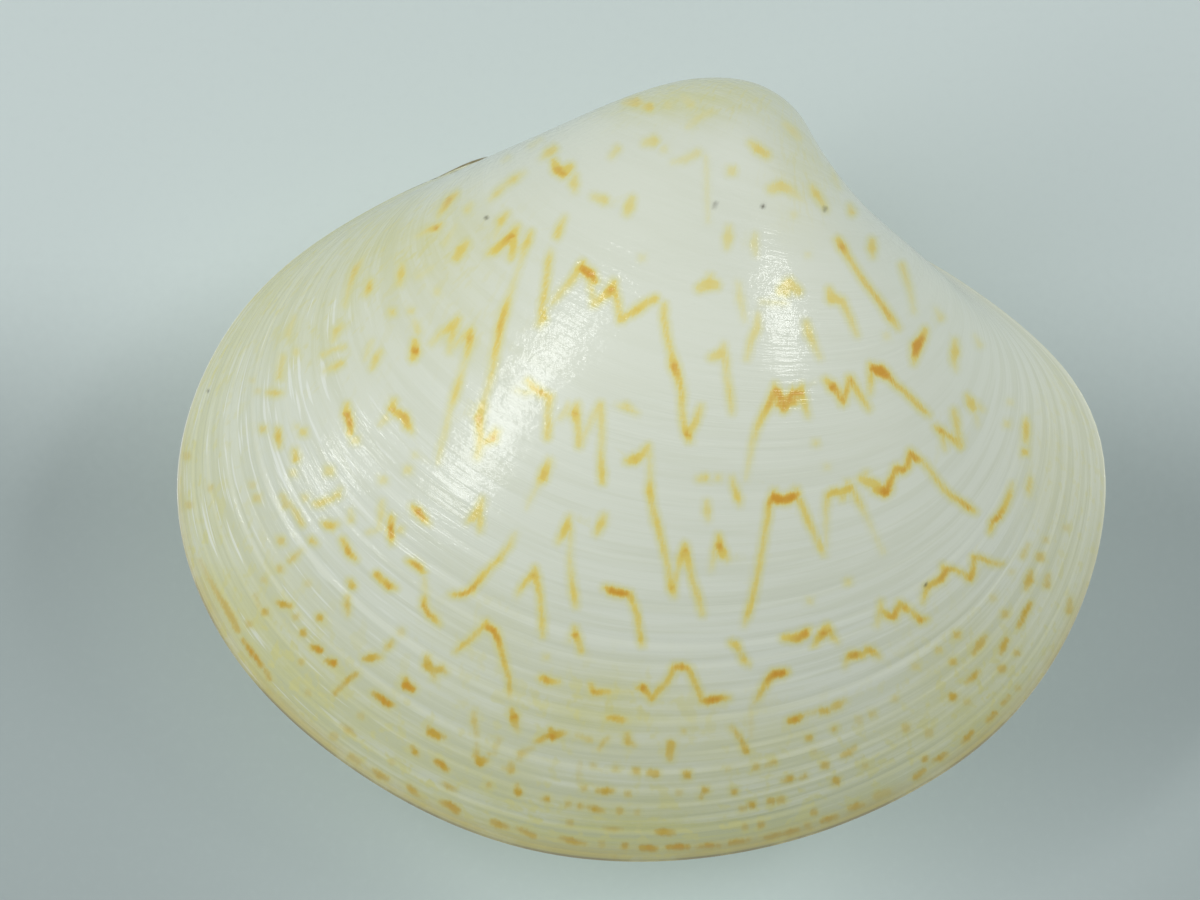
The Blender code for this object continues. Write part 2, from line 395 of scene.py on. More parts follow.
UMBO_MARKS = (
    ((625, 102, 3, 50), (636, 102, 5, 75), (641, 103, 3, 50)),
    ((641, 107, 2, 40), (649, 107, 4.5, 75)),
    ((645, 143, 3, 35), (654, 141, 4.5, 50)),
    ((617, 149, 2.5, 45), (611, 157, 2, 30)),
    ((541, 159, 1.5, 30), (548, 153, 3.5, 65), (554, 149, 3, 60)),
    ((554, 161, 3, 70), (557, 169, 5, 90), (563, 173, 5, 90), (570, 167, 3.5, 70)),
    ((575, 176, 2.5, 45), (574, 184, 4, 55), (575, 191, 2, 35)),
    ((594, 197, 3, 35), (604, 200, 4, 50)),
    ((632, 199, 3, 45), (629, 207, 4.5, 55), (627, 213, 3, 45)),
    ((457, 193, 2, 60), (450, 199, 3.5, 90), (445, 206, 3.2, 85), (438, 216, 1.8, 45)),
    ((471, 204, 1.8, 30), (467, 210, 2.8, 45)),
    ((441, 224, 1.8, 70), (436, 228, 3.6, 100), (429, 230, 2.5, 65), (416, 237, 1.5, 30)),
    ((456, 225, 1.2, 20), (445, 243, 2, 35)),
    ((467, 243, 2.5, 55), (461, 250, 4.5, 75), (456, 258, 3.5, 60)),
    ((524, 172, 1.4, 30), (514, 179, 2.8, 60), (505, 185, 2, 40), (496, 194, 2.4, 55),
    (490, 200, 1.4, 30)),
    ((507, 213, 1.8, 50), (501, 221, 3.2, 75), (498, 228, 1.6, 40), (495, 240, 1.2, 30)),
    ((518, 226, 2, 50), (512, 236, 4.8, 95), (502, 244, 3.8, 85), (494, 251, 3.6, 80),
    (488, 254, 1.8, 50)),
    ((513, 238, 4, 80), (513, 250, 3.4, 75), (511, 258, 2.6, 55)),
    ((531, 232, 1.8, 60), (528, 241, 3.2, 75), (524, 249, 2.6, 60), (522, 258, 1.6, 40)),
    ((565, 217, 1.4, 40), (560, 227, 2.8, 65), (557, 236, 2.8, 60)),
    ((508, 157, 1.6, 30), (503, 161, 1.4, 20)),
    ((540, 139, 2, 25), (530, 146, 2, 25)),
    ((691, 104, 4, 35), (684, 98, 3, 25)),
    ((712, 111, 2.5, 25), (698, 118, 3, 30), (688, 127, 2.5, 20)),
    ((698, 153, 3, 35), (684, 160, 3, 30), (672, 162, 2, 20)),
    ((706, 157, 1.5, 25), (707, 190, 1.6, 25), (708, 222, 1.6, 20)),
    ((751, 143, 2.5, 45), (758, 149, 4, 70), (767, 155, 3, 60)),
    ((772, 189, 4, 45), (781, 186, 4.5, 60), (789, 189, 3.5, 50), (803, 200, 1.6, 20)),
    ((785, 124, 2.5, 35), (793, 131, 3.5, 45), (799, 138, 2.5, 35)),
    ((812, 187, 2.2, 50), (816, 194, 3.4, 70), (822, 203, 2.2, 60), (826, 209, 1.6, 50)),
    ((832, 168, 1.2, 30), (835, 178, 1.6, 45), (839, 188, 1.2, 30)),
    ((850, 206, 2, 50), (852, 212, 3.2, 65)),
    ((729, 228, 2.5, 35), (728, 238, 4, 50), (727, 247, 2.4, 35)),
    ((755, 235, 2, 30), (754, 244, 2.8, 40), (755, 254, 1.8, 30)),
)

BACK_SLOPE_MARKS = (
    ((362, 260, 1.6, 40), (355, 270, 3, 75), (352, 278, 2.6, 65), (348, 292, 2, 45), (345, 306, 2, 35)),
    ((371, 281, 2.2, 60), (369, 288, 3.2, 90), (366, 295, 1.8, 50)),
    ((402, 265, 2.2, 50), (401, 274, 3.4, 75), (399, 284, 2.2, 50)),
    ((294, 317, 2, 30), (288, 335, 2.4, 40)),
    ((343, 326, 2, 40), (336, 331, 2.8, 60), (333, 341, 1.8, 40)),
    ((344, 347, 1.8, 45), (333, 350, 1.8, 50), (323, 355, 1.8, 50)),
    ((341, 363, 2.4, 60), (334, 367, 2.6, 60), (325, 371, 1.4, 35)),
    ((372, 341, 1.4, 30), (368, 350, 1.8, 40), (365, 359, 1.4, 30)),
    ((381, 351, 2, 45), (376, 358, 3.2, 60), (372, 368, 2, 45)),
    ((283, 357, 2.2, 45), (281, 366, 2.4, 45), (279, 377, 2.2, 55)),
    ((268, 393, 2, 50), (275, 393, 3, 70), (281, 393, 1.6, 50)),
    ((278, 430, 2.4, 70), (278, 437, 3.4, 85), (279, 446, 2, 50)),
    ((295, 451, 2.4, 55), (296, 459, 3, 75)),
    ((347, 405, 2.4, 60), (347, 414, 4.4, 95), (350, 424, 3.8, 95), (350, 433, 3, 85)),
    ((394, 401, 2.4, 60), (392, 409, 4, 90), (397, 413, 3.4, 85)),
    ((397, 413, 4, 85), (405, 417, 4.2, 90), (408, 426, 3.8, 85), (411, 431, 2, 50)),
    ((386, 418, 3, 40), (380, 425, 2, 25)),
    ((415, 322, 2.4, 30), (418, 331, 2.6, 45)),
    ((415, 341, 2.6, 70), (415, 351, 4.8, 100), (413, 358, 3.4, 70)),
    ((432, 267, 1.2, 25), (418, 277, 1.8, 30)),
)

MIDDLE_MARKS = (
    ((522, 258, 1.6, 35), (516, 276, 1.6, 35), (510, 295, 2, 45), (505, 310, 3.6, 85),
    (500, 328, 3.6, 90), (496, 350, 3, 80), (493, 366, 2.4, 65), (489, 385, 2.4, 45),
    (485, 398, 2.2, 40), (482, 408, 3.4, 70), (479, 418, 4.4, 90), (480, 432, 3.2, 75),
    (480, 444, 2.6, 60), (477, 457, 2.2, 45)),
    ((551, 250, 1.4, 30), (549, 259, 2.6, 65), (547, 275, 2.4, 65), (545, 292, 2.6, 75),
    (542, 306, 2.6, 65)),
    ((542, 310, 3.2, 75), (543, 319, 3.6, 75), (539, 325, 2.2, 45)),
    ((552, 303, 2, 45), (562, 291, 2.4, 50), (572, 280, 2.8, 60), (579, 268, 3, 75),
    (583, 262, 2.2, 70)),
    ((582, 268, 5, 95), (590, 274, 5.5, 100), (595, 281, 3.6, 90)),
    ((590, 283, 2.4, 55), (593, 295, 2.4, 50), (594, 304, 3, 55)),
    ((596, 303, 2.6, 60), (603, 297, 3.2, 75), (611, 290, 5, 95), (614, 282, 2.6, 75)),
    ((612, 288, 4.6, 90), (617, 299, 3, 80), (619, 310, 2.8, 75), (621, 320, 3.2, 80)),
    ((621, 319, 3, 80), (630, 314, 3, 80), (638, 309, 4, 85), (646, 303, 3.2, 70), (655, 299, 3.6, 70)),
    ((431, 344, 1.6, 40), (441, 333, 2, 50), (451, 328, 4, 75), (458, 319, 2.4, 65)),
    ((456, 325, 2.6, 60), (452, 338, 2.6, 60), (449, 352, 1.8, 40)),
    ((454, 346, 1.6, 40), (463, 337, 2.2, 55), (471, 330, 2.4, 80)),
    ((471, 331, 2.8, 80), (470, 338, 3.8, 95), (468, 350, 2.6, 70), (466, 358, 2, 50)),
    ((465, 360, 1.6, 40), (462, 372, 1.8, 45), (459, 382, 2.6, 60), (455, 395, 3, 70),
    (450, 410, 1.8, 40), (446, 428, 1.8, 40), (440, 450, 1.8, 40), (438, 462, 1.8, 30)),
    ((528, 381, 1.8, 70), (533, 387, 3.2, 80), (541, 393, 3.6, 90), (550, 397, 3, 75)),
    ((516, 390, 1.2, 30), (526, 393, 1.6, 40)),
    ((549, 400, 3, 70), (548, 412, 2.4, 50), (548, 425, 3, 70), (547, 437, 2.6, 60)),
    ((569, 404, 1.6, 35), (566, 412, 2.4, 40), (560, 418, 1.8, 35)),
    ((577, 405, 2.4, 60), (575, 414, 4.4, 90), (578, 424, 2.6, 60), (579, 434, 3, 55),
    (579, 445, 2.8, 60)),
    ((579, 446, 2.4, 50), (586, 432, 2, 40), (593, 417, 2.4, 40), (600, 405, 3, 55), (601, 420, 3, 50),
    (602, 432, 2.2, 45), (601, 450, 2, 50), (601, 462, 2.6, 60), (602, 474, 3.4, 75),
    (602, 482, 2.4, 70)),
    ((618, 406, 1.6, 35), (626, 407, 3, 60), (637, 413, 1.6, 35)),
    ((628, 461, 3, 70), (635, 459, 4.6, 85), (642, 455, 3.4, 75), (648, 446, 2, 60)),
    ((648, 447, 1.8, 60), (650, 462, 1.8, 40), (650, 478, 2, 45), (650, 491, 3.8, 85),
    (652, 505, 2.4, 60), (656, 521, 3.2, 75), (660, 534, 2.6, 70), (664, 550, 2.6, 65),
    (668, 567, 2.4, 55), (670, 578, 3, 65), (672, 588, 4.2, 90), (674, 596, 1.8, 50)),
    ((674, 583, 2.4, 60), (678, 570, 2.2, 50), (682, 556, 4, 85), (685, 545, 2.4, 80)),
    ((685, 550, 4, 90), (688, 562, 3.2, 75), (691, 575, 2.4, 60), (695, 588, 2.8, 65),
    (699, 600, 2.8, 60), (702, 614, 2.4, 50)),
    ((664, 305, 2.6, 60), (664, 318, 3, 65), (667, 337, 2.8, 65), (671, 352, 2.6, 65),
    (674, 366, 5, 95), (679, 379, 3.6, 85), (682, 395, 3, 80), (682, 410, 2.4, 60), (684, 425, 2.8, 70),
    (688, 434, 4.4, 95), (689, 440, 2.6, 70)),
    ((690, 432, 2.8, 70), (696, 420, 3.2, 65), (701, 407, 2.4, 50)),
    ((700, 288, 4, 50), (709, 284, 5.5, 65), (716, 285, 4, 55)),
    ((712, 357, 3.4, 50), (722, 354, 4.2, 65), (724, 345, 2.2, 40)),
    ((725, 356, 2.8, 55), (727, 375, 2.2, 45), (730, 395, 2.6, 60), (732, 412, 2.2, 45)),
    ((758, 315, 2.4, 35), (757, 328, 3, 55), (751, 340, 2.4, 50), (747, 358, 2.2, 40)),
    ((738, 283, 2, 25), (740, 298, 3, 35), (745, 320, 2, 25)),
    ((493, 438, 4.4, 90), (496, 432, 2.6, 70)),
    ((483, 441, 2.4, 60), (489, 441, 3, 75)),
    ((482, 499, 2, 50), (479, 510, 3.4, 70), (473, 518, 3.6, 65), (467, 522, 1.8, 40)),
    ((479, 514, 3, 65), (480, 524, 3, 60), (480, 531, 2, 40)),
    ((549, 461, 2.2, 50), (545, 471, 4, 85), (543, 478, 4.2, 85), (538, 484, 2, 40)),
    ((536, 489, 1.6, 30), (530, 499, 1.8, 30), (527, 508, 1.4, 20)),
    ((699, 479, 2.6, 40), (705, 478, 3.2, 55)),
    ((707, 502, 2.2, 40), (707, 511, 3, 55), (708, 519, 2, 35)),
    ((732, 479, 1.8, 50), (735, 489, 2.4, 65), (738, 498, 3.2, 80), (740, 504, 1.8, 40)),
    ((719, 536, 2.2, 70), (719, 546, 4.8, 95), (723, 554, 4.6, 80), (727, 558, 2.6, 50)),
    ((715, 550, 2.4, 60), (713, 562, 1.8, 40), (711, 571, 1.4, 25)),
    ((569, 517, 2, 50), (567, 526, 4, 85), (563, 534, 3.4, 75), (558, 542, 1.8, 40)),
    ((570, 530, 2.2, 50), (570, 548, 1.6, 35), (570, 565, 2, 45), (572, 582, 2.4, 65),
    (574, 596, 3.2, 80), (576, 606, 2, 50)),
    ((604, 516, 2.4, 50), (601, 524, 3.6, 70), (597, 533, 2.4, 50)),
    ((606, 588, 3, 90), (612, 591, 4.6, 100), (620, 593, 4.6, 100), (628, 594, 3.6, 95)),
    ((629, 595, 3.6, 90), (634, 605, 2.6, 80), (637, 615, 2.8, 75), (639, 628, 2.4, 65),
    (641, 640, 3.2, 80), (642, 645, 2, 50)),
)

FRONT_MARKS = (
    ((838, 240, 3, 80), (842, 247, 4.2, 95), (847, 255, 2.8, 80), (854, 266, 2.2, 75),
    (863, 280, 2.6, 85), (873, 293, 2.4, 85), (882, 305, 2.8, 90), (890, 317, 3.4, 90),
    (898, 328, 2, 50)),
    ((872, 241, 3, 65), (872, 248, 3.8, 80), (873, 256, 2, 45)),
    ((902, 265, 2.4, 60), (905, 275, 2.4, 55), (910, 290, 2, 40), (914, 312, 1.8, 30)),
    ((925, 330, 2.6, 80), (922, 338, 4.4, 95), (917, 346, 6, 100), (915, 355, 4, 95),
    (914, 363, 1.8, 60)),
    ((955, 341, 2.2, 50), (955, 352, 3.8, 75), (954, 360, 2.8, 55), (956, 370, 1.6, 30)),
    ((936, 309, 1.6, 25), (941, 318, 2.8, 40)),
    ((975, 336, 1.6, 20), (980, 345, 2.4, 30)),
    ((967, 396, 2, 50), (971, 403, 4, 75), (974, 409, 3, 65)),
    ((976, 404, 2, 50), (983, 410, 1.6, 35)),
    ((975, 412, 1.4, 35), (978, 425, 1.4, 25)),
    ((781, 291, 4, 50), (789, 283, 4.4, 65), (798, 291, 3.6, 60)),
    ((762, 302, 1.2, 35), (785, 303, 1.4, 35)),
    ((829, 290, 2.4, 60), (832, 298, 5, 70), (841, 301, 3.4, 65)),
    ((843, 303, 2.8, 60), (850, 318, 2.6, 55), (857, 335, 2, 40)),
    ((806, 323, 2.6, 50), (809, 334, 3.2, 65), (814, 345, 2.4, 50), (820, 358, 1.8, 35)),
    ((746, 479, 1.4, 25), (749, 462, 1.6, 35), (752, 445, 2, 45), (757, 428, 2.6, 65),
    (763, 415, 3, 80), (769, 405, 4, 90), (774, 394, 4, 90), (775, 385, 2.2, 70)),
    ((776, 390, 4.4, 95), (782, 399, 4.4, 95), (784, 409, 4, 95)),
    ((785, 408, 3.6, 90), (790, 398, 4.6, 95), (793, 389, 2.4, 80)),
    ((792, 394, 4.6, 95), (800, 393, 4.6, 95), (802, 386, 2, 70)),
    ((802, 396, 3.2, 85), (805, 406, 2.6, 70), (808, 416, 1.8, 45)),
    ((778, 404, 4, 90), (795, 402, 4, 90)),
    ((826, 380, 2.4, 70), (833, 387, 5, 100), (838, 393, 3.4, 90), (843, 403, 2.8, 95),
    (847, 390, 3, 90), (849, 378, 2.4, 85)),
    ((850, 379, 3.4, 95), (855, 387, 3, 85), (861, 397, 2.8, 80), (869, 409, 2, 55)),
    ((870, 365, 2.2, 80), (871, 378, 2.6, 75), (870, 393, 1.6, 50)),
    ((873, 368, 4.5, 100), (880, 371, 6.5, 100), (886, 375, 5, 100)),
    ((888, 376, 3.4, 95), (895, 384, 2.8, 90), (905, 392, 2.6, 85), (915, 402, 2.6, 85),
    (924, 411, 2.6, 85), (929, 415, 1.6, 60)),
    ((936, 427, 2.2, 80), (941, 431, 3.4, 95), (947, 435, 2.6, 85), (955, 441, 3, 85),
    (961, 447, 2.2, 70)),
    ((942, 433, 2.4, 70), (945, 449, 1.6, 40)),
    ((961, 446, 2.4, 70), (958, 434, 2.4, 60), (956, 420, 3, 60), (954, 411, 2.6, 50)),
    ((1026, 420, 2, 55), (1026, 428, 3.2, 85), (1026, 441, 2.2, 60)),
    ((1030, 479, 1.8, 50), (1029, 487, 2.2, 60), (1029, 495, 1.4, 40)),
    ((744, 626, 1.6, 30), (748, 614, 3, 75), (753, 597, 2.8, 75), (757, 578, 2.4, 65),
    (761, 556, 2.4, 65), (765, 532, 2.4, 65), (768, 515, 2.8, 75), (769, 505, 3.2, 90)),
    ((770, 503, 3.2, 95), (774, 497, 5, 100), (778, 499, 5.5, 100), (786, 500, 5, 95),
    (792, 497, 5.5, 100), (797, 494, 3.6, 95)),
    ((799, 500, 3, 80), (804, 510, 2.6, 70), (809, 523, 3, 70), (815, 535, 2.2, 55), (822, 549, 3, 60),
    (824, 555, 1.6, 40)),
    ((826, 548, 1.4, 25), (826, 530, 1.6, 35), (826, 512, 1.8, 45), (827, 499, 2.6, 65)),
    ((828, 496, 3, 80), (834, 492, 3.6, 85), (842, 492, 3.6, 80), (850, 488, 3.6, 85)),
    ((853, 491, 2.4, 60), (859, 502, 2.6, 60), (866, 515, 1.8, 35), (874, 533, 1.6, 25),
    (883, 552, 2, 25)),
    ((862, 479, 3.6, 65), (868, 482, 4, 70), (876, 485, 4.6, 75)),
    ((877, 489, 5, 85), (885, 492, 5.4, 100), (889, 489, 4, 95)),
    ((888, 487, 4, 95), (892, 478, 3.4, 90), (897, 468, 3.6, 90)),
    ((897, 469, 4, 90), (903, 470, 4, 95), (908, 466, 3.2, 85)),
    ((907, 467, 3.4, 90), (910, 457, 3.6, 90), (910, 451, 2, 70)),
    ((911, 454, 4, 95), (916, 459, 4, 95), (922, 461, 2.4, 80)),
    ((922, 461, 2.2, 75), (929, 469, 2, 65), (937, 480, 2.2, 70), (945, 490, 2.4, 75),
    (953, 497, 2.8, 85), (961, 502, 3, 90), (969, 508, 3.4, 95), (975, 512, 2, 60)),
    ((1012, 484, 1.6, 40), (1009, 496, 2.6, 75), (1004, 508, 3, 85), (999, 516, 3.4, 95),
    (993, 522, 3.2, 95), (990, 532, 2, 60)),
    ((923, 602, 1.6, 50), (925, 594, 2.4, 75), (927, 587, 3, 85), (934, 583, 3.6, 85),
    (941, 579, 4, 90), (945, 572, 4, 95), (943, 566, 2.2, 80)),
    ((947, 569, 3.4, 95), (955, 570, 2.4, 80), (962, 573, 2, 75), (970, 578, 3.8, 90)),
    ((971, 577, 3.4, 90), (974, 567, 2.6, 85), (974, 557, 2.6, 85), (980, 558, 2.4, 85),
    (987, 561, 2.6, 85), (994, 564, 2, 80), (1003, 564, 1.8, 50)),
    ((881, 602, 2, 50), (881, 609, 2.6, 60), (877, 625, 2, 35)),
    ((884, 612, 3, 75), (889, 616, 3.6, 90), (894, 617, 3.6, 95), (897, 609, 3.4, 90),
    (900, 603, 2.6, 80), (905, 608, 4, 90), (911, 611, 2.6, 75), (916, 616, 3, 80), (921, 620, 3.8, 95),
    (927, 619, 2, 60)),
    ((784, 638, 3, 75), (790, 638, 4, 85), (798, 638, 4.6, 90), (806, 633, 4.4, 95),
    (809, 630, 2.6, 80)),
    ((814, 646, 2, 50), (818, 639, 3.4, 80), (823, 633, 4.6, 95), (827, 626, 2.8, 80),
    (829, 631, 3.6, 90), (833, 637, 2.6, 65), (838, 642, 1.6, 40)),
    ((845, 668, 1.4, 30), (847, 660, 2.2, 60), (850, 656, 4, 90), (857, 655, 4.2, 95),
    (863, 655, 3, 70)),
    ((864, 654, 2.4, 65), (868, 650, 3.4, 85), (873, 652, 3.2, 90), (879, 657, 1.8, 50)),
)

BELLY_MARKS = (
    ((754, 704, 1.6, 35), (758, 697, 2.4, 65), (763, 689, 2.8, 75), (768, 680, 4, 90),
    (775, 674, 4.6, 100), (783, 673, 4.6, 100), (787, 672, 2.6, 70)),
    ((751, 708, 1.4, 20), (751, 722, 1.8, 25), (751, 738, 1.4, 20)),
    ((732, 643, 3, 70), (736, 645, 3.6, 75), (740, 652, 2.4, 60), (744, 660, 3.2, 70),
    (748, 664, 2.2, 50)),
    ((638, 688, 2.4, 70), (643, 688, 4.4, 95), (648, 694, 3.2, 85), (652, 699, 2.8, 85),
    (659, 690, 3, 75), (666, 683, 2.6, 75), (671, 675, 2.8, 80), (674, 668, 3.2, 90)),
    ((675, 667, 3.4, 95), (682, 667, 3.8, 95), (688, 669, 3.4, 90)),
    ((689, 670, 3, 80), (694, 681, 3, 75), (699, 692, 2.8, 75), (702, 699, 2.8, 80)),
    ((702, 701, 2.8, 85), (708, 701, 4, 95), (716, 699, 4, 100), (723, 698, 3.2, 85),
    (729, 698, 2, 55)),
    ((575, 628, 2.2, 60), (575, 635, 4.2, 95), (579, 642, 2.8, 70), (581, 651, 2.8, 65)),
    ((535, 569, 2.6, 70), (534, 575, 4, 90), (529, 579, 3, 80), (523, 586, 2.6, 75),
    (518, 593, 1.8, 45)),
    ((536, 577, 3.6, 85), (539, 590, 2.6, 75), (541, 604, 2.4, 70), (542, 620, 2.8, 75),
    (543, 636, 2, 50)),
    ((515, 534, 1.6, 30), (510, 545, 2.4, 50), (503, 554, 2.2, 60), (499, 560, 2.6, 75),
    (491, 567, 2.4, 70), (484, 574, 3, 80), (477, 583, 3.4, 90), (471, 590, 3.4, 95), (463, 594, 3, 95),
    (455, 595, 2.6, 85), (450, 595, 1.4, 50)),
    ((456, 652, 1.6, 50), (462, 646, 2.8, 75), (470, 640, 2.4, 70), (478, 632, 2.4, 70),
    (484, 626, 3, 85)),
    ((486, 622, 2.4, 80), (488, 627, 4, 100), (494, 631, 4, 100), (498, 639, 3.6, 95),
    (501, 650, 3, 85), (504, 662, 3, 85), (508, 675, 2.6, 75), (510, 690, 2.6, 65),
    (510, 697, 1.8, 30)),
    ((427, 658, 2.6, 60), (428, 665, 5, 85), (433, 671, 3, 65), (434, 679, 2, 50)),
    ((434, 671, 3, 65), (441, 669, 3.6, 70), (445, 672, 2.4, 50)),
    ((542, 678, 3, 80), (546, 680, 4, 95), (552, 682, 3, 80), (558, 682, 2, 60)),
    ((591, 685, 2.4, 60), (593, 691, 3.6, 90), (598, 693, 3.2, 90), (606, 692, 2.6, 75),
    (614, 692, 1.6, 45)),
    ((614, 692, 1.2, 30), (636, 692, 1, 20)),
    ((608, 718, 2.2, 70), (615, 718, 3.4, 90), (621, 720, 3.2, 75), (626, 720, 1.8, 50)),
    ((512, 711, 3, 70), (514, 717, 4.6, 95), (515, 724, 3.4, 60), (518, 731, 2, 40)),
    ((474, 713, 2.4, 35), (474, 722, 3.2, 50), (477, 735, 2, 40)),
    ((428, 727, 2, 50), (431, 732, 4.2, 85), (438, 736, 4, 85), (444, 737, 2, 50)),
    ((412, 747, 2.2, 50), (415, 752, 3.4, 80), (418, 756, 1.8, 40)),
    ((437, 761, 3, 90), (442, 765, 3.4, 95), (447, 770, 2.4, 70)),
    ((477, 744, 1.6, 30), (476, 756, 2.8, 65), (480, 762, 4.4, 85), (487, 760, 2.6, 55)),
    ((489, 754, 1.8, 45), (495, 753, 1.6, 30)),
    ((499, 739, 2.4, 30), (494, 749, 2, 30)),
    ((551, 730, 2.8, 75), (553, 736, 5, 95), (560, 734, 3.4, 75), (565, 733, 2, 50)),
    ((547, 736, 3, 80), (540, 740, 3, 65), (534, 742, 1.8, 40)),
    ((532, 748, 2, 30), (521, 754, 3.4, 45), (519, 759, 2.2, 35)),
    ((511, 763, 2.4, 40), (511, 770, 3.6, 55), (504, 768, 1.6, 30)),
    ((517, 786, 2.2, 50), (518, 792, 4, 85)),
    ((577, 735, 2, 35), (583, 737, 2, 35), (590, 740, 2.6, 45)),
    ((608, 738, 2, 40), (603, 743, 2.8, 50), (599, 749, 1.8, 40)),
    ((627, 734, 2.4, 50), (628, 742, 3.4, 65), (634, 746, 2, 40)),
    ((671, 745, 4.6, 70), (670, 752, 4, 65), (670, 758, 3.4, 50)),
    ((731, 727, 2, 50), (736, 732, 2.4, 60), (742, 742, 2.6, 70), (746, 751, 3.2, 75)),
    ((790, 721, 3.4, 85), (796, 719, 4, 95), (802, 716, 2.4, 70)),
    ((803, 715, 1.6, 40), (818, 711, 1.6, 40)),
    ((822, 711, 3, 70), (827, 711, 3, 70)),
    ((829, 709, 2.4, 50), (838, 705, 3.8, 60), (844, 701, 2, 40)),
    ((842, 756, 2.4, 45), (849, 753, 3, 55), (855, 747, 1.8, 40)),
)

LOW_BACK_MARKS = (
    ((413, 507, 2.6, 80), (418, 512, 4.6, 100), (424, 519, 3.4, 90), (428, 523, 1.8, 50)),
    ((408, 561, 2, 70), (413, 563, 3.4, 95), (419, 567, 3.4, 95), (423, 572, 2.6, 80)),
    ((424, 576, 1.6, 35), (425, 592, 1.6, 35), (424, 602, 3, 85)),
    ((424, 605, 3.2, 95), (428, 613, 3.2, 95), (434, 619, 3, 85), (439, 624, 1.8, 50)),
    ((315, 504, 2.4, 50), (321, 503, 3, 65), (331, 499, 2.4, 50), (338, 495, 2.8, 60),
    (340, 490, 1.6, 40)),
    ((283, 497, 3, 40), (286, 505, 3.4, 45)),
    ((289, 503, 2, 40), (296, 513, 2.4, 50), (302, 524, 2.4, 55)),
    ((351, 511, 1.8, 35), (351, 520, 2.4, 45)),
    ((325, 524, 2.8, 70), (331, 526, 3.8, 85), (337, 524, 2, 50)),
    ((382, 502, 1.8, 35), (381, 513, 2.8, 45), (380, 524, 2, 35)),
    ((391, 517, 2.6, 80), (391, 528, 3.6, 100), (391, 537, 3.4, 95), (392, 543, 1.8, 50)),
    ((368, 533, 2, 30), (382, 528, 2, 35)),
    ((343, 540, 2.6, 70), (346, 547, 3.2, 90), (349, 553, 3.4, 95), (355, 559, 2.2, 70)),
    ((312, 541, 3, 70), (315, 543, 2, 50)),
    ((301, 551, 1.6, 35), (294, 557, 2.6, 55), (290, 561, 2, 50)),
    ((377, 575, 3.4, 90), (382, 580, 3.4, 80), (389, 586, 4, 95), (395, 588, 2, 60)),
    ((350, 582, 2.4, 60), (352, 586, 3.4, 80)),
    ((347, 597, 1.8, 50), (347, 605, 3, 70), (348, 614, 1.8, 40)),
    ((277, 602, 1.8, 50), (282, 604, 3.4, 85), (290, 606, 2.4, 75)),
    ((255, 595, 1.8, 30), (259, 607, 2, 30)),
    ((313, 647, 3, 80), (319, 650, 4, 100)),
    ((327, 661, 2.4, 70), (333, 663, 4.2, 100)),
    ((356, 674, 2.6, 75), (349, 679, 2.8, 75), (342, 686, 2.4, 55), (335, 693, 2.6, 60)),
    ((365, 659, 2.6, 70), (372, 658, 3.8, 85), (380, 657, 2.2, 50)),
    ((393, 641, 2, 45), (389, 646, 3, 60), (385, 650, 1.8, 40)),
    ((374, 694, 2.4, 70), (379, 697, 3.4, 95), (388, 704, 4, 100), (394, 705, 1.8, 50)),
    ((405, 679, 2.4, 70), (406, 685, 5, 100), (412, 689, 3.8, 100)),
    ((342, 726, 2, 30), (348, 730, 3.2, 50), (354, 735, 2, 35)),
    ((351, 757, 3.4, 50), (358, 762, 3, 45)),
    ((373, 770, 2, 50), (379, 775, 3.4, 80), (387, 779, 2.4, 60)),
    ((408, 786, 2.6, 60), (413, 791, 3.2, 80), (418, 796, 2, 50)),
)

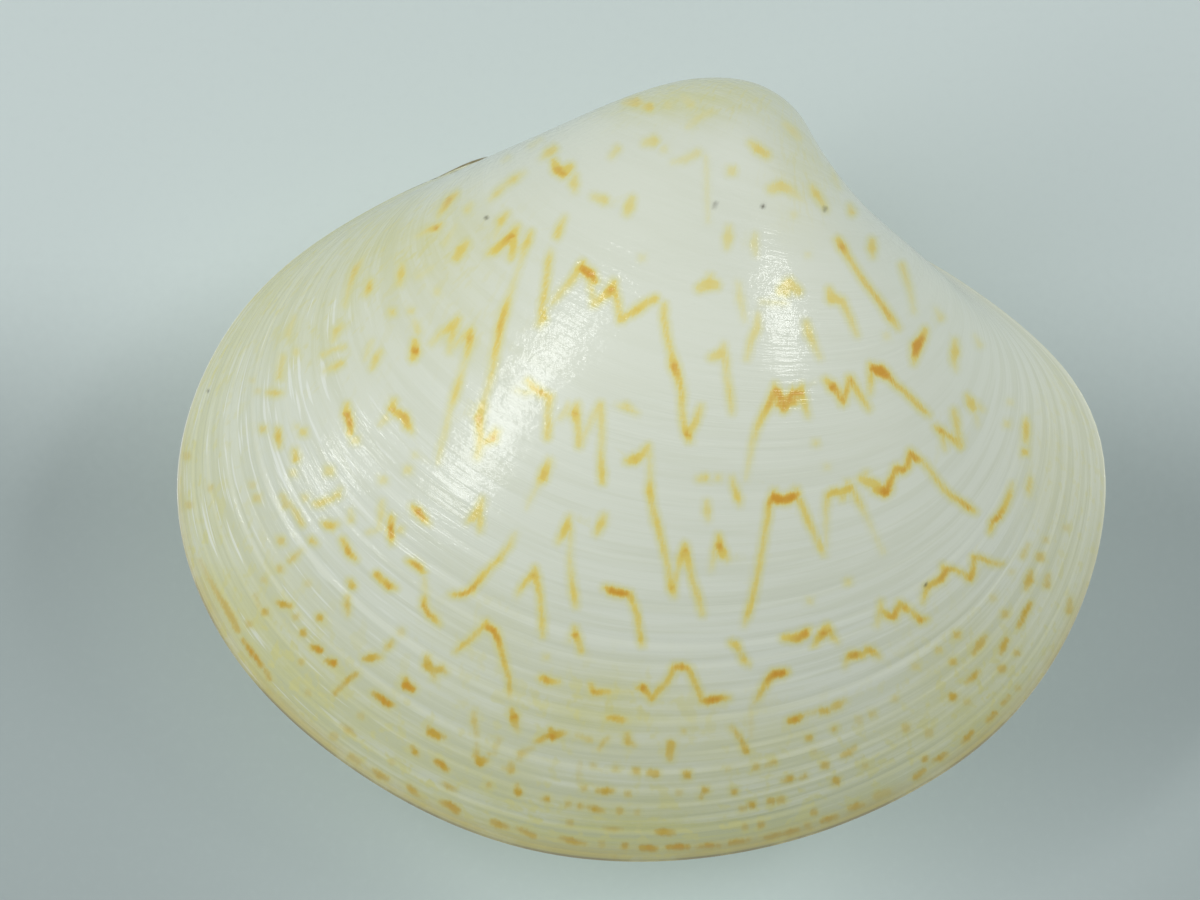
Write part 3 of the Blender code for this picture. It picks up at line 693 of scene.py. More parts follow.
# Dashes along the margin, from the back end round the belly to the front
MARGIN_MARKS = (
    ((200, 560, 2, 25), (214, 588, 2.6, 50), (224, 604, 3, 60), (232, 618, 3.4, 60),
    (238, 631, 2.8, 60)),
    ((243, 640, 2, 70), (250, 650, 2.8, 95), (256, 658, 3, 100), (262, 667, 2, 75)),
    ((266, 671, 2.2, 75), (270, 679, 2.2, 70)),
    ((444, 784, 2, 45), (449, 787, 3, 60), (455, 790, 1.8, 40)),
    ((442, 802, 2.4, 60), (449, 805, 3.8, 90), (457, 811, 3.4, 85)),
    ((493, 822, 3, 60), (499, 825, 3.8, 80), (507, 827, 2.4, 55)),
    ((518, 829, 2.4, 55), (526, 832, 3, 65), (534, 836, 2.8, 65)),
    ((543, 799, 2, 50), (547, 799, 3.4, 75)),
    ((560, 838, 2, 50), (571, 841, 3.4, 80), (585, 844, 2, 55)),
    ((587, 807, 1.8, 50), (595, 809, 3.4, 80), (603, 811, 2, 50)),
    ((580, 763, 1.8, 25), (579, 783, 1.6, 25)),
    ((598, 791, 2.4, 55), (606, 791, 3.4, 80), (613, 791, 2.2, 50)),
    ((604, 828, 1.8, 40), (612, 829, 2.6, 50), (622, 829, 1.6, 35)),
    ((641, 848, 3, 70), (649, 848, 4, 95), (655, 849, 3, 80)),
    ((650, 773, 3.4, 55), (656, 774, 3.6, 60)),
    ((657, 832, 2.8, 60), (664, 832, 4, 75), (674, 833, 2.4, 45)),
    ((668, 847, 2.6, 85), (680, 847, 3.4, 100), (688, 847, 2.6, 80)),
    ((699, 847, 2.2, 75), (709, 846, 3.2, 95), (720, 846, 2, 70)),
    ((730, 843, 2.6, 75), (738, 842, 3, 85), (750, 840, 1.8, 50)),
    ((766, 766, 1.8, 40), (774, 762, 2.6, 55)),
    ((766, 838, 2.6, 65), (772, 837, 3.2, 80), (783, 834, 2, 65), (792, 832, 3.4, 90),
    (799, 830, 2, 60)),
    ((784, 781, 2, 50), (790, 779, 3.8, 70)),
    ((800, 779, 1.8, 40), (805, 776, 2.6, 50)),
    ((822, 821, 2.6, 75), (829, 819, 3.4, 85), (836, 817, 2.4, 65)),
    ((851, 808, 2.8, 65), (857, 806, 3.4, 75), (863, 805, 2.4, 50)),
    ((877, 796, 4, 40), (888, 792, 3.4, 35)),
    ((924, 770, 2, 60), (916, 777, 3.2, 70)),
    ((946, 754, 2, 60), (940, 758, 3, 80), (934, 761, 1.8, 50)),
    ((972, 732, 2.4, 70), (967, 738, 3, 85), (962, 743, 1.8, 50)),
    ((978, 672, 2, 60), (973, 677, 3, 75), (967, 682, 1.8, 50)),
    ((985, 637, 2.4, 50), (980, 644, 4, 65), (974, 653, 2.4, 55)),
    ((995, 713, 2.4, 75), (988, 721, 2.4, 70)),
    ((1006, 640, 2.4, 70), (1003, 647, 3.2, 75), (1001, 653, 2, 50)),
    ((1009, 697, 2, 60), (1003, 704, 2.4, 55)),
    ((1028, 545, 1.8, 35), (1023, 556, 2.4, 45)),
    ((1030, 604, 2.4, 65), (1025, 613, 2.8, 80), (1019, 626, 2, 70)),
    ((1031, 572, 2.4, 50), (1029, 580, 4, 70), (1026, 588, 2.4, 50)),
    ((1048, 576, 2, 40), (1047, 585, 3.2, 50)),
    ((1070, 600, 2.4, 40), (1069, 611, 3, 50)),
)

# Round marks: x, y, radius and strength
DOTS = (
    (668, 105, 3.5, 30), (664, 149, 3, 25), (732, 171, 4, 40), (794, 215, 3, 20), (808, 255, 2.4, 20),
    (392, 312, 3, 55), (411, 311, 2.6, 40), (296, 352, 3, 35), (252, 380, 2, 20), (258, 391, 2.4, 25),
    (263, 429, 3, 50), (303, 432, 3.2, 55), (297, 427, 2, 30), (293, 473, 3, 35), (329, 471, 4, 45),
    (355, 440, 3.4, 45), (383, 480, 3.4, 35), (408, 470, 3.4, 40), (415, 455, 2, 30), (437, 292, 3, 30),
    (252, 485, 3, 25), (257, 498, 3.6, 40), (211, 488, 3, 30), (187, 456, 3.6, 35), (189, 505, 3.6, 35),
    (710, 277, 2.4, 50), (642, 258, 2.4, 30), (718, 478, 2.4, 40), (786, 292, 3.6, 60),
    (887, 336, 3.4, 20), (1007, 424, 2.8, 35), (1010, 402, 3, 20), (1025, 452, 3, 70),
    (816, 443, 2.4, 40), (827, 467, 3, 20), (774, 492, 2.2, 85), (796, 490, 2, 80), (848, 483, 2, 60),
    (843, 498, 2.4, 60), (866, 473, 1.8, 50), (848, 582, 2.8, 40), (810, 601, 2.8, 30),
    (571, 640, 1.8, 40), (546, 657, 2.4, 35), (684, 731, 2.4, 40), (809, 738, 3, 65),
    (834, 729, 2.4, 55), (825, 765, 3.8, 55), (836, 781, 4, 65), (865, 766, 2.6, 40), (872, 714, 3, 35),
    (859, 720, 3.6, 25), (814, 752, 2.6, 30), (305, 498, 2.6, 40), (400, 530, 2.6, 50),
    (281, 541, 3.4, 50), (280, 569, 3.2, 45), (265, 612, 3.2, 65), (296, 617, 3, 40),
    (320, 618, 3.4, 75), (264, 580, 2.8, 30), (308, 583, 3, 25), (303, 633, 3.6, 70), (301, 662, 3, 45),
    (249, 624, 3.4, 45), (401, 632, 3.6, 30), (361, 716, 3.4, 30), (334, 736, 4, 35),
    (308, 693, 3.4, 30), (392, 762, 3, 30), (489, 785, 3, 45), (568, 804, 3, 50), (580, 806, 3, 55),
    (570, 823, 3.6, 45), (584, 788, 2.8, 45), (593, 765, 2.6, 35), (616, 769, 2.4, 35),
    (620, 811, 3.4, 50), (602, 844, 3.4, 40), (625, 846, 3.4, 70), (614, 858, 2.4, 40),
    (628, 794, 3, 45), (636, 771, 3.4, 55), (637, 812, 2.6, 35), (679, 793, 3, 30), (687, 775, 3.8, 70),
    (701, 797, 2.4, 55), (705, 790, 3.2, 65), (728, 769, 2, 35), (734, 792, 3, 65), (742, 809, 3, 45),
    (745, 827, 3.2, 45), (752, 805, 3.4, 75), (756, 767, 3.4, 50), (761, 825, 3.6, 60),
    (771, 801, 3.6, 60), (781, 800, 3.8, 50), (808, 826, 3.6, 50), (814, 812, 3.4, 55),
    (895, 699, 3, 30), (906, 728, 4, 40), (915, 666, 3.4, 30), (925, 759, 3, 65), (929, 733, 4, 35),
    (939, 650, 3, 45), (953, 662, 3.4, 60), (953, 697, 3.8, 75), (957, 635, 3.6, 60), (967, 702, 3, 35),
    (993, 598, 3, 30), (1002, 669, 3.6, 55), (1005, 614, 3.6, 50), (1012, 572, 2.4, 25),
    (1017, 653, 2.8, 50), (1018, 688, 2.4, 45), (1040, 557, 4, 50), (1046, 540, 2.6, 35),
    (1066, 528, 2.8, 25),
)

STROKES = UMBO_MARKS + BACK_SLOPE_MARKS + MIDDLE_MARKS + FRONT_MARKS
STROKES += BELLY_MARKS + LOW_BACK_MARKS + MARGIN_MARKS

# Tiny dark pits in the shell: x, y and radius, in the photo's pixels
SPECKS = (
    (715, 205, 2.1),
    (763, 206, 2.0),
    (825, 209, 2.0),
    (208, 391, 1.3),
    (486, 218, 1.6),
    (925, 585, 1.6),
)

# Where the shell is yellower, and along the umbo's top edge partly painted shade: x, y, reach across and
# down in the photo's pixels, and how much
YELLOW_AND_SHADE_PATCHES = (
    (400, 240, 90, 50, 0.78),
    (300, 320, 70, 70, 0.62),
    (470, 335, 50, 35, 0.25),
    (480, 640, 60, 50, 0.35),
    (600, 705, 90, 35, 0.98),
    (262, 672, 30, 45, 0.60),
    (760, 740, 90, 40, 0.30),
    (960, 660, 70, 60, 0.40),
    # This patch is partly painted shade, darkening and greening the umbo's top edge
    (700, 95, 110, 25, 0.80),
    (805, 165, 35, 55, 0.40),
    (650, 838, 130, 18, 0.80),
    (960, 715, 60, 40, 0.20),
    (1050, 480, 30, 90, 0.30),
)
# The yellow belt fades between these two distances from the margin, in mm
YELLOW_BELT = (1.5, 9.5)
BELT_LEAST = 0.1
BELLY_COLUMN = 0.55

MARK_REACH = 10.0
STROKE_SQUARENESS = 2.0
DOT_SQUARENESS = 3.2
SMALLEST_STEP = 1e-9
STROKE_SOFTNESS = 1.8
FAR_FROM_MARKS = -12.0
FACING_FADES = (0.03, 0.12)


def mark_segments():
    """Start, end and squareness of each straight piece of a mark. A dot starts and ends in one place."""
    segments = []
    for stroke in STROKES:
        segments += [(start, end, STROKE_SQUARENESS) for start, end in zip(stroke, stroke[1:])]
    return segments + [(dot, dot, DOT_SQUARENESS) for dot in DOTS]


def mark_field(places):
    """How deep each place lies inside the nearest mark, in pixels, and that mark's strength."""
    order = np.argsort(places[:, 0])
    across = places[order, 0]
    depth = np.full(len(places), FAR_FROM_MARKS)
    strength = np.zeros(len(places))
    for start, end, squareness in mark_segments():
        start, end = np.array(start, float), np.array(end, float)
        reach = max(start[2], end[2]) + MARK_REACH
        low = np.minimum(start[:2], end[:2]) - reach
        high = np.maximum(start[:2], end[:2]) + reach
        first, last = np.searchsorted(across, (low[0], high[0]))
        near = order[first:last]
        near = near[(places[near, 1] > low[1]) & (places[near, 1] < high[1])]
        step = end[:2] - start[:2]
        away = places[near] - start[:2]
        share = np.clip(away @ step / max(step @ step, SMALLEST_STEP), 0.0, 1.0)
        gap = np.sum(np.abs(away - share[:, None] * step) ** squareness, axis=1) ** (1.0 / squareness)
        gap = np.sqrt(gap**2 + STROKE_SOFTNESS**2) - 0.5 * STROKE_SOFTNESS
        inside = start[2] + (end[2] - start[2]) * share - gap
        better = inside > depth[near]
        depth[near[better]] = inside[better]
        strength[near[better]] = (start[3] + (end[3] - start[3]) * share)[better] / 100.0
    return depth, strength


def yellow_field(places, column, grown):
    """How much the shell yellows: a belt along the margin, widest at the belly, and soft patches, one of
    which is partly painted shade along the umbo's top edge.
    """
    belly = np.maximum(0.5 + 0.5 * np.cos(2.0 * math.pi * (column - BELLY_COLUMN)), BELT_LEAST)
    yellow = belly * (1.0 - eased(grown, *YELLOW_BELT))
    for x, y, reach_x, reach_y, share in YELLOW_AND_SHADE_PATCHES:
        away = ((places[:, 0] - x) / reach_x) ** 2 + ((places[:, 1] - y) / reach_y) ** 2
        yellow = yellow + share * np.exp(-away)
    return yellow


def speck_field(places):
    """1 in the middle of a dark speck, and less away from it."""
    dark = np.zeros(len(places))
    for x, y, radius in SPECKS:
        gap = np.linalg.norm(places - (x, y), axis=1)
        dark = np.maximum(dark, np.exp(-((gap / radius) ** 2)))
    return dark


# The outer face with its growth relief


def unit(vectors):
    return vectors / np.maximum(np.linalg.norm(vectors, axis=1), TINY)[:, None]


def smooth_face(column, grown):
    return outer_face(column, turn_of(np.clip(grown, 0.0, GROWN_AT_BEAK)))


def local_frame(column, grown):
    """The smooth outer face, its outward normal, and how far one mm of growth reaches there."""
    across = smooth_face(column + ROUND_STEP, grown) - smooth_face(column - ROUND_STEP, grown)
    along = smooth_face(column, grown + GROWTH_STEP) - smooth_face(column, grown - GROWTH_STEP)
    spent = np.minimum(grown + GROWTH_STEP, GROWN_AT_BEAK) - np.maximum(grown - GROWTH_STEP, 0.0)
    reach = np.linalg.norm(along, axis=1) / (spent * MM)
    return smooth_face(column, grown), unit(np.cross(along, across)), np.minimum(reach, 1.0)


def fine_lines():
    """Seeded thin growth lines: place, depth, width, how they vary round the shell, and a phase."""
    random = np.random.default_rng(LINE_SEED)
    lines = []
    place = FINE_LINES_START
    while place < FINE_LINES_END:
        place += random.uniform(*FINE_LINE_SPACING)
        depth = random.uniform(*FINE_LINE_DEPTH)
        waves = int(random.integers(1, 4))
        lines.append((place, depth, FINE_LINE_WIDTH, waves, random.uniform()))
    return lines


def relief(column, grown, lines):
    """Height over the smooth face of the ridges that growth leaves, in metres."""
    height = np.zeros_like(grown)
    turning = 2.0 * math.pi * column
    for k, (place, depth, width) in enumerate(GROWTH_PAUSES):
        wander = 0.35 * width * np.sin(2.0 * turning + 1.7 * k)
        away = (grown - place - wander) / width
        vary = 0.75 + 0.25 * np.cos(3.0 * turning + 2.3 * k) * np.cos(17.0 * turning + 1.3 * k)
        lip = LIP_HEIGHT * np.exp(-((away + LIP_PLACE) ** 2))
        height += PAUSE_DEPTH * depth * vary * (lip - np.exp(-(away**2)))
    for place, depth, width, waves, phase in lines:
        near = np.nonzero(np.abs(grown - place) < 4.0 * width)[0]
        vary = 0.55 + 0.45 * np.cos(waves * turning[near] + 2.0 * math.pi * phase)
        height[near] -= depth * vary * np.exp(-(((grown[near] - place) / width) ** 2))
    fade = eased(grown, *RELIEF_STARTS) * (1.0 - UMBO_SMOOTHER * eased(grown, *RELIEF_FADES))
    front = eased(np.cos(turning - 2.0 * math.pi * FRONT_COLUMN), *FRONT_SPREAD)
    return height * fade * (1.0 - FRONT_SMOOTHER * front) * MM


def ridged_face(column, grown, lines):
    """Points of the right valve's outer face with its ridges, in the shell frame."""
    points, normal, reach = local_frame(column, grown)
    ridged = points + normal * (relief(column, grown, lines) * reach)[:, None]
    ridged[:, 2] = np.maximum(ridged[:, 2], 0.5 * MEETING_GAP)
    return ridged


def ridged_normals(column, grown, lines):
    top = np.minimum(grown + RIDGE_STEP, GROWN_AT_BEAK)
    low = np.maximum(grown - RIDGE_STEP, 0.0)
    across = ridged_face(column + ROUND_STEP, grown, lines) - ridged_face(column - ROUND_STEP, grown, lines)
    along = ridged_face(column, top, lines) - ridged_face(column, low, lines)
    return unit(np.cross(along, across))


# The mesh of a valve: a coarse grid of cells, each split as finely as its marks and ridges need


def growth_places():
    """Growth at each line of the fine lattice, closer near the margin and at the pauses."""
    growth = np.linspace(0.0, GROWN_AT_BEAK, GROWTH_SAMPLES)
    crowd = 1.0 / (1.0 + MARGIN_CROWDING * growth / GROWN_AT_BEAK)
    for place, depth, width in GROWTH_PAUSES:
        crowd += PAUSE_CROWDING * depth * np.exp(-(((growth - place + width) / (2.2 * width)) ** 2))
    total = np.concatenate([[0.0], np.cumsum(0.5 * (crowd[1:] + crowd[:-1]))])
    return np.interp(np.linspace(0.0, total[-1], RINGS * SPLIT_GROWTH + 1), total, growth)


def lattice():
    """Column and growth of each point of the fine lattice, ring after ring."""
    around = np.arange(COLUMNS * SPLIT_ROUND) / (COLUMNS * SPLIT_ROUND)
    growth = growth_places()
    return np.tile(around, len(growth)), np.repeat(growth, len(around))


def split_needed(length, longest, most):
    """The fewest halvings, as a power of two, that make lengths no longer than they should be."""
    split = np.ones(length.shape, dtype=int)
    while split.max() < most:
        split = np.where((length / split > longest) & (split < most), split * 2, split)
        if np.all((length / split <= longest) | (split >= most)):
            break
    return split


def cell_splits(points, depth, growth):
    """How many times each cell is split round the shell and along its growth."""
    rows, count = RINGS * SPLIT_GROWTH + 1, COLUMNS * SPLIT_ROUND
    corners = points.reshape(rows, count, 3)[::SPLIT_GROWTH, ::SPLIT_ROUND]
    width = np.linalg.norm(np.roll(corners, -1, axis=1) - corners, axis=2)
    width = np.maximum(width[:-1], width[1:]) / MM
    height = np.linalg.norm(corners[1:] - corners[:-1], axis=2)
    height = np.maximum(height, np.roll(height, -1, axis=1)) / MM
    field = depth.reshape(rows, count)
    nearest = np.full((RINGS, COLUMNS), FAR_FROM_MARKS)
    for i in range(SPLIT_GROWTH + 1):
        rows_of_cells = field[i : i + (RINGS - 1) * SPLIT_GROWTH + 1 : SPLIT_GROWTH]
        for j in range(SPLIT_ROUND + 1):
            column = (np.arange(COLUMNS) * SPLIT_ROUND + j) % count
            nearest = np.maximum(nearest, rows_of_cells[:, column])
    busy = nearest > MARK_NEAR
    middle = 0.5 * (growth[:-1:SPLIT_GROWTH] + growth[SPLIT_GROWTH::SPLIT_GROWTH])
    ridge = np.zeros(RINGS, dtype=bool)
    for place, _, width_of_pause in GROWTH_PAUSES:
        ridge |= np.abs(middle - place + width_of_pause) < 3.0 * width_of_pause + 0.1
    longest_round = np.where(busy, MARK_CELL_ROUND, PLAIN_CELL_ROUND)
    longest_growth = np.where(middle < MARGIN_CELLS_REACH, MARGIN_CELL_GROWTH, PLAIN_CELL_GROWTH)
    longest_growth = np.where(ridge, PAUSE_CELL_GROWTH, longest_growth)
    longest_growth = np.where(busy, MARK_CELL_GROWTH, longest_growth[:, None])
    round_splits = split_needed(width, longest_round, SPLIT_ROUND)
    return round_splits, split_needed(height, longest_growth, SPLIT_GROWTH)


def grid_faces(splits_round, splits_growth):
    """Faces of the split grid over the fine lattice, and which lattice points they use."""
    count = COLUMNS * SPLIT_ROUND
    rows = RINGS * SPLIT_GROWTH + 1
    used = np.zeros((rows, count), dtype=bool)
    for i in range(RINGS):
        for j in range(COLUMNS):
            step_round = SPLIT_ROUND // splits_round[i, j]
            step_growth = SPLIT_GROWTH // splits_growth[i, j]
            ring = slice(i * SPLIT_GROWTH, (i + 1) * SPLIT_GROWTH + 1, step_growth)
            first = j * SPLIT_ROUND
            used[ring, first : first + SPLIT_ROUND : step_round] = True
            used[ring, (first + SPLIT_ROUND) % count] = True
    marked = used.tolist()
    faces = []
    for i in range(RINGS):
        for j in range(COLUMNS):
            step_round = int(SPLIT_ROUND // splits_round[i, j])
            step_growth = int(SPLIT_GROWTH // splits_growth[i, j])
            for low in range(i * SPLIT_GROWTH, (i + 1) * SPLIT_GROWTH, step_growth):
                high = low + step_growth
                for left in range(j * SPLIT_ROUND, (j + 1) * SPLIT_ROUND, step_round):
                    right = left + step_round
                    walk = [(low, u) for u in range(left, right)]
                    walk += [(v, right) for v in range(low, high)]
                    walk += [(high, u) for u in range(right, left, -1)]
                    walk += [(v, left) for v in range(high, low, -1)]
                    faces.append([v * count + u % count for v, u in walk if marked[v][u % count]])
    return faces, used.ravel()


def inward(ring, depth):
    """A ring moved towards its own middle by a depth for each point."""
    middle = ring.mean(axis=0)
    away = np.linalg.norm(ring - middle, axis=1)
    share = np.maximum(1.0 - depth / away, LEAST_LEFT)
    return middle + (ring - middle) * share[:, None]


def cavity_rings():
    """Rings of the inner face, from the edge of the meeting plane to the hollow of the umbo."""
    outline = outline_at(np.arange(COLUMNS) / COLUMNS)
    hinge = eased(outline[:, 1], -HINGE_PLATE_BELOW - HINGE_PLATE_FADES, -HINGE_PLATE_BELOW)
    depth = WALL + (WALL + HINGE_PLATE) * hinge
    plane = 0.5 * MEETING_GAP
    step = RIM_STEP * WALL
    rim = inward(growth_ring(outline, np.zeros(COLUMNS)), step + (GROOVE_DEPTH - step) * hinge)
    rim[:, 2] = plane
    rings = [rim]
    for k in range(CAVITY_RINGS):
        share = k / CAVITY_RINGS
        turn = np.full(COLUMNS, CAVITY_LAST_TURN * share)
        ring = inward(growth_ring(outline, turn), depth * (1.0 + CAVITY_DEEPENS * share))
        middle = ring.mean(axis=0)
        ring = middle + (ring - middle) * math.sqrt(1.0 - share**4)
        ring[:, 2] = np.maximum(ring[:, 2], plane + CAVITY_CLEARS * share * hinge)
        rings.append(ring)
    return rings


def add_attribute(mesh, name, kind, values):
    layer = mesh.attributes.new(name, kind, "POINT")
    field = "vector" if kind == "FLOAT_VECTOR" else "value"
    layer.data.foreach_set(field, np.asarray(values, dtype=np.float32).ravel())


def other_growth(column, grown):
    """Where the left valve's marks are looked up, so that they don't mirror the right valve's."""
    turning = 2.0 * math.pi * column
    moved = column + 0.006 * np.sin(2.0 * turning + 0.9) + 0.004 * np.sin(5.0 * turning + grown / 4.0)
    stretched = grown * (1.0 + 0.035 * np.sin(3.0 * turning + 2.0))
    stretched += 0.5 * np.sin(grown / 2.7 + 4.0 * turning)
    return moved, np.clip(stretched, 0.0, GROWN_AT_BEAK)


def marks_on_lattice(column, grown):
    """Depth inside a mark, its strength, the specks and the yellow, seen by the photo's camera."""
    points, normal, _ = local_frame(column, grown)
    back = np.array(camera_axes()[2])
    facing = eased(normal @ LYING.T @ back, *FACING_FADES)
    places = seen_at(in_row_frame(points, 1.0))
    depth, strength = mark_field(places)
    yellow = yellow_field(places, column, grown)
    return depth, strength * facing, speck_field(places) * facing, yellow


def closing_faces(number, used, tip, rings):
    """Faces of the beak's tip, of the meeting plane and of the hollow, by the kept points' numbers."""
    count = COLUMNS * SPLIT_ROUND
    top = RINGS * SPLIT_GROWTH * count
    last = [int(number[top + u]) for u in range(count) if used[top + u]]
    faces = [[a, b, tip] for a, b in zip(last, last[1:] + last[:1])]
    start = tip + 1
    for j in range(COLUMNS):
        row = range((j + 1) * SPLIT_ROUND, j * SPLIT_ROUND - 1, -1)
        edge = [int(number[u % count]) for u in row if used[u % count]]
        faces.append(edge + [start + j, start + (j + 1) % COLUMNS])
    for near in range(start, start + (rings - 1) * COLUMNS, COLUMNS):
        far = near + COLUMNS
        for j in range(COLUMNS):
            ahead = (j + 1) % COLUMNS
            faces.append([near + ahead, near + j, far + j, far + ahead])
    hollow = start + rings * COLUMNS
    faces += [[far + (j + 1) % COLUMNS, far + j, hollow] for j in range(COLUMNS)]
    return faces, last


def add_object(name, data):
    item = bpy.data.objects.new(name, data)
    bpy.context.scene.collection.objects.link(item)
    return item


def make_valve(name, side):
    """One valve as a fine closed mesh. side is 1 for the right valve, on top, and -1 for the left."""
    column, grown = lattice()
    smooth, _, reach = local_frame(column, grown)
    looked_up = (column, grown) if side > 0 else other_growth(column, grown)
    depth, strength, dark, yellow = marks_on_lattice(*looked_up)
    splits = cell_splits(smooth, np.where(dark > SPECK_NEAR, 0.0, depth), growth_places())
    faces, used = grid_faces(*splits)
    kept = np.nonzero(used)[0]
    number = np.full(len(used), -1)
    number[kept] = np.arange(len(kept))
    column, grown = column[kept], grown[kept]
    lines = fine_lines()
    outer = ridged_face(column, grown, lines)
    cavity = cavity_rings()
    closing, last = closing_faces(number, used, len(kept), len(cavity))
    faces = [[int(number[p]) for p in face] for face in faces] + closing
    points = np.concatenate([outer, [outer[last].mean(axis=0)], *cavity, [cavity[-1].mean(axis=0)]])
    points = in_row_frame(points, side)
    normals = ridged_normals(column, grown, lines) * (1.0, 1.0, side) @ LYING.T
    if side < 0:
        resting = points[: len(outer), 2] < 0.0
        normals[resting] = (0.0, 0.0, -1.0)
        points[:, 2] = np.maximum(points[:, 2], 0.0)
    else:
        faces = [face[::-1] for face in faces]

    mesh = bpy.data.meshes.new(name)
    mesh.from_pydata(points.tolist(), [], faces)
    rest = len(points) - len(outer)
    fields = (
        ("mark_depth", depth[kept], FAR_FROM_MARKS),
        ("mark_strength", strength[kept], 0.0),
        ("speck", dark[kept], 0.0),
        ("yellow", yellow[kept], 0.0),
        ("grown", grown, GROWN_INSIDE),
        ("reach", reach[kept], 0.0),
    )
    for field, values, inside in fields:
        add_attribute(mesh, field, "FLOAT", np.append(values, np.full(rest, inside)))
    turning = 2.0 * math.pi * column
    around = np.column_stack([np.cos(turning), np.sin(turning), np.zeros(len(column))])
    add_attribute(mesh, "around", "FLOAT_VECTOR", np.concatenate([around, np.zeros((rest, 3))]))
    mesh.shade_smooth()
    mesh.normals_split_custom_set_from_vertices(np.concatenate([normals, np.zeros((rest, 3))]).tolist())
    return add_object(name, mesh)


# The ligament


def ligament_section(hinge, x):
    """A rounded wedge across the meeting plane: its foot in the groove, its back in the open."""
    edge = np.interp(x, hinge[:, 0], hinge[:, 1])
    room = groove_height(np.array([x]))[0] + 0.5 * MEETING_GAP - LIGAMENT_CLEARANCE
    room = max(room, LIGAMENT_THINNEST)
    fullness = room / GROOVE_HALF_WIDTH
    section = []
    for k in range(LIGAMENT_SIDES):
        angle = 2.0 * math.pi * k / LIGAMENT_SIDES
        up, out = math.sin(angle), math.cos(angle)
        seam = LIGAMENT_SEAM * max(up, 0.0) * math.exp(-((out / SEAM_WIDTH) ** 2))
        tall = LIGAMENT_SHOWS if up > 0 else LIGAMENT_SINKS
        height = tall * fullness * up - seam * fullness
        narrowing = 1.0 if up > 0 else 1.0 + FOOT_NARROWS * up
        section.append((x, edge + height, room * out * narrowing))
    return section


def make_ligament(name):
    """The dark strip that springs the valves apart, along the margin behind the beaks."""
    outline = outline_at(np.arange(HINGE_SAMPLES) / HINGE_SAMPLES)
    hinge = outline[outline[:, 1] > HINGE_ABOVE]
    hinge = hinge[np.argsort(hinge[:, 0])]
    points, faces = [], []
    for k in range(LIGAMENT_SECTIONS):
        share = 0.5 - 0.5 * math.cos(math.pi * k / (LIGAMENT_SECTIONS - 1))
        x = STRIP_FRONT_X + (STRIP_BACK_X - STRIP_FRONT_X) * share
        points += ligament_section(hinge, x)
    for k in range(LIGAMENT_SECTIONS - 1):
        near, far = k * LIGAMENT_SIDES, (k + 1) * LIGAMENT_SIDES
        for j in range(LIGAMENT_SIDES):
            ahead = (j + 1) % LIGAMENT_SIDES
            faces.append((near + j, near + ahead, far + ahead, far + j))
    faces.append(tuple(range(LIGAMENT_SIDES))[::-1])
    faces.append(tuple(range(len(points) - LIGAMENT_SIDES, len(points))))
    mesh = bpy.data.meshes.new(name)
    mesh.from_pydata(in_row_frame(np.array(points), 1.0).tolist(), [], faces)
    mesh.shade_smooth()
    return add_object(name, mesh)


# Materials


def srgb(red, green, blue):
    """A colour read as 0 to 255 from the photograph, as the linear values that nodes take."""
    linear = []
    for value in (red, green, blue):
        share = value / 255.0
        linear.append(share / 12.92 if share <= 0.04045 else ((share + 0.055) / 1.055) ** 2.4)
    return (*linear, 1.0)


class NodeKit:
    """Adds nodes to one material, and links whatever is given as an input."""

    def __init__(self, name):
        self.material = bpy.data.materials.new(name)
        self.material.use_nodes = True
        self.tree = self.material.node_tree
        self.shader = self.tree.nodes["Principled BSDF"]

    def put(self, socket, value):
        if isinstance(value, bpy.types.NodeSocket):
            self.tree.links.new(value, socket)
        elif value is not None:
            socket.default_value = value

    def attribute(self, name, output="Fac"):
        node = self.tree.nodes.new("ShaderNodeAttribute")
        node.attribute_name = name
        return node.outputs[output]

    def math(self, operation, first, second=None, third=None):
        node = self.tree.nodes.new("ShaderNodeMath")
        node.operation = operation
        for socket, value in zip(node.inputs, (first, second, third)):
            self.put(socket, value)
        return node.outputs[0]

    def times(self, first, second):
        return self.math("MULTIPLY", first, second)

    def plus(self, first, second):
        return self.math("ADD", first, second)

    def smooth(self, value, low, high, start=0.0, end=1.0):
        """start up to low, end from high on, and a smooth rise between them."""
        node = self.tree.nodes.new("ShaderNodeMapRange")
        node.interpolation_type = "SMOOTHSTEP"
        for socket, setting in zip(node.inputs, (value, low, high, start, end)):
            self.put(socket, setting)
        return node.outputs[0]

    def combine(self, x, y, z):
        node = self.tree.nodes.new("ShaderNodeCombineXYZ")
        for socket, value in zip(node.inputs, (x, y, z)):
            self.put(socket, value)
        return node.outputs[0]

    def separate(self, vector):
        node = self.tree.nodes.new("ShaderNodeSeparateXYZ")
        self.put(node.inputs[0], vector)
        return node.outputs

    def noise(self, vector, scale, detail=2.0, roughness=0.5):
        node = self.tree.nodes.new("ShaderNodeTexNoise")
        self.put(node.inputs["Vector"], vector)
        self.put(node.inputs["Scale"], scale)
        self.put(node.inputs["Detail"], detail)
        self.put(node.inputs["Roughness"], roughness)
        return node.outputs["Fac"]

    def place(self):
        return self.tree.nodes.new("ShaderNodeTexCoord").outputs["Object"]

    def mix(self, share, first, second, blend="MIX"):
        node = self.tree.nodes.new("ShaderNodeMix")
        node.data_type = "RGBA"
        node.blend_type = blend
        self.put(node.inputs[0], share)
        self.put(node.inputs[6], first)
        self.put(node.inputs[7], second)
        return node.outputs[2]

    def bump(self, height, distance, strength=1.0, normal=None):
        node = self.tree.nodes.new("ShaderNodeBump")
        self.put(node.inputs["Strength"], strength)
        self.put(node.inputs["Distance"], distance)
        self.put(node.inputs["Height"], height)
        self.put(node.inputs["Normal"], normal)
        return node.outputs[0]


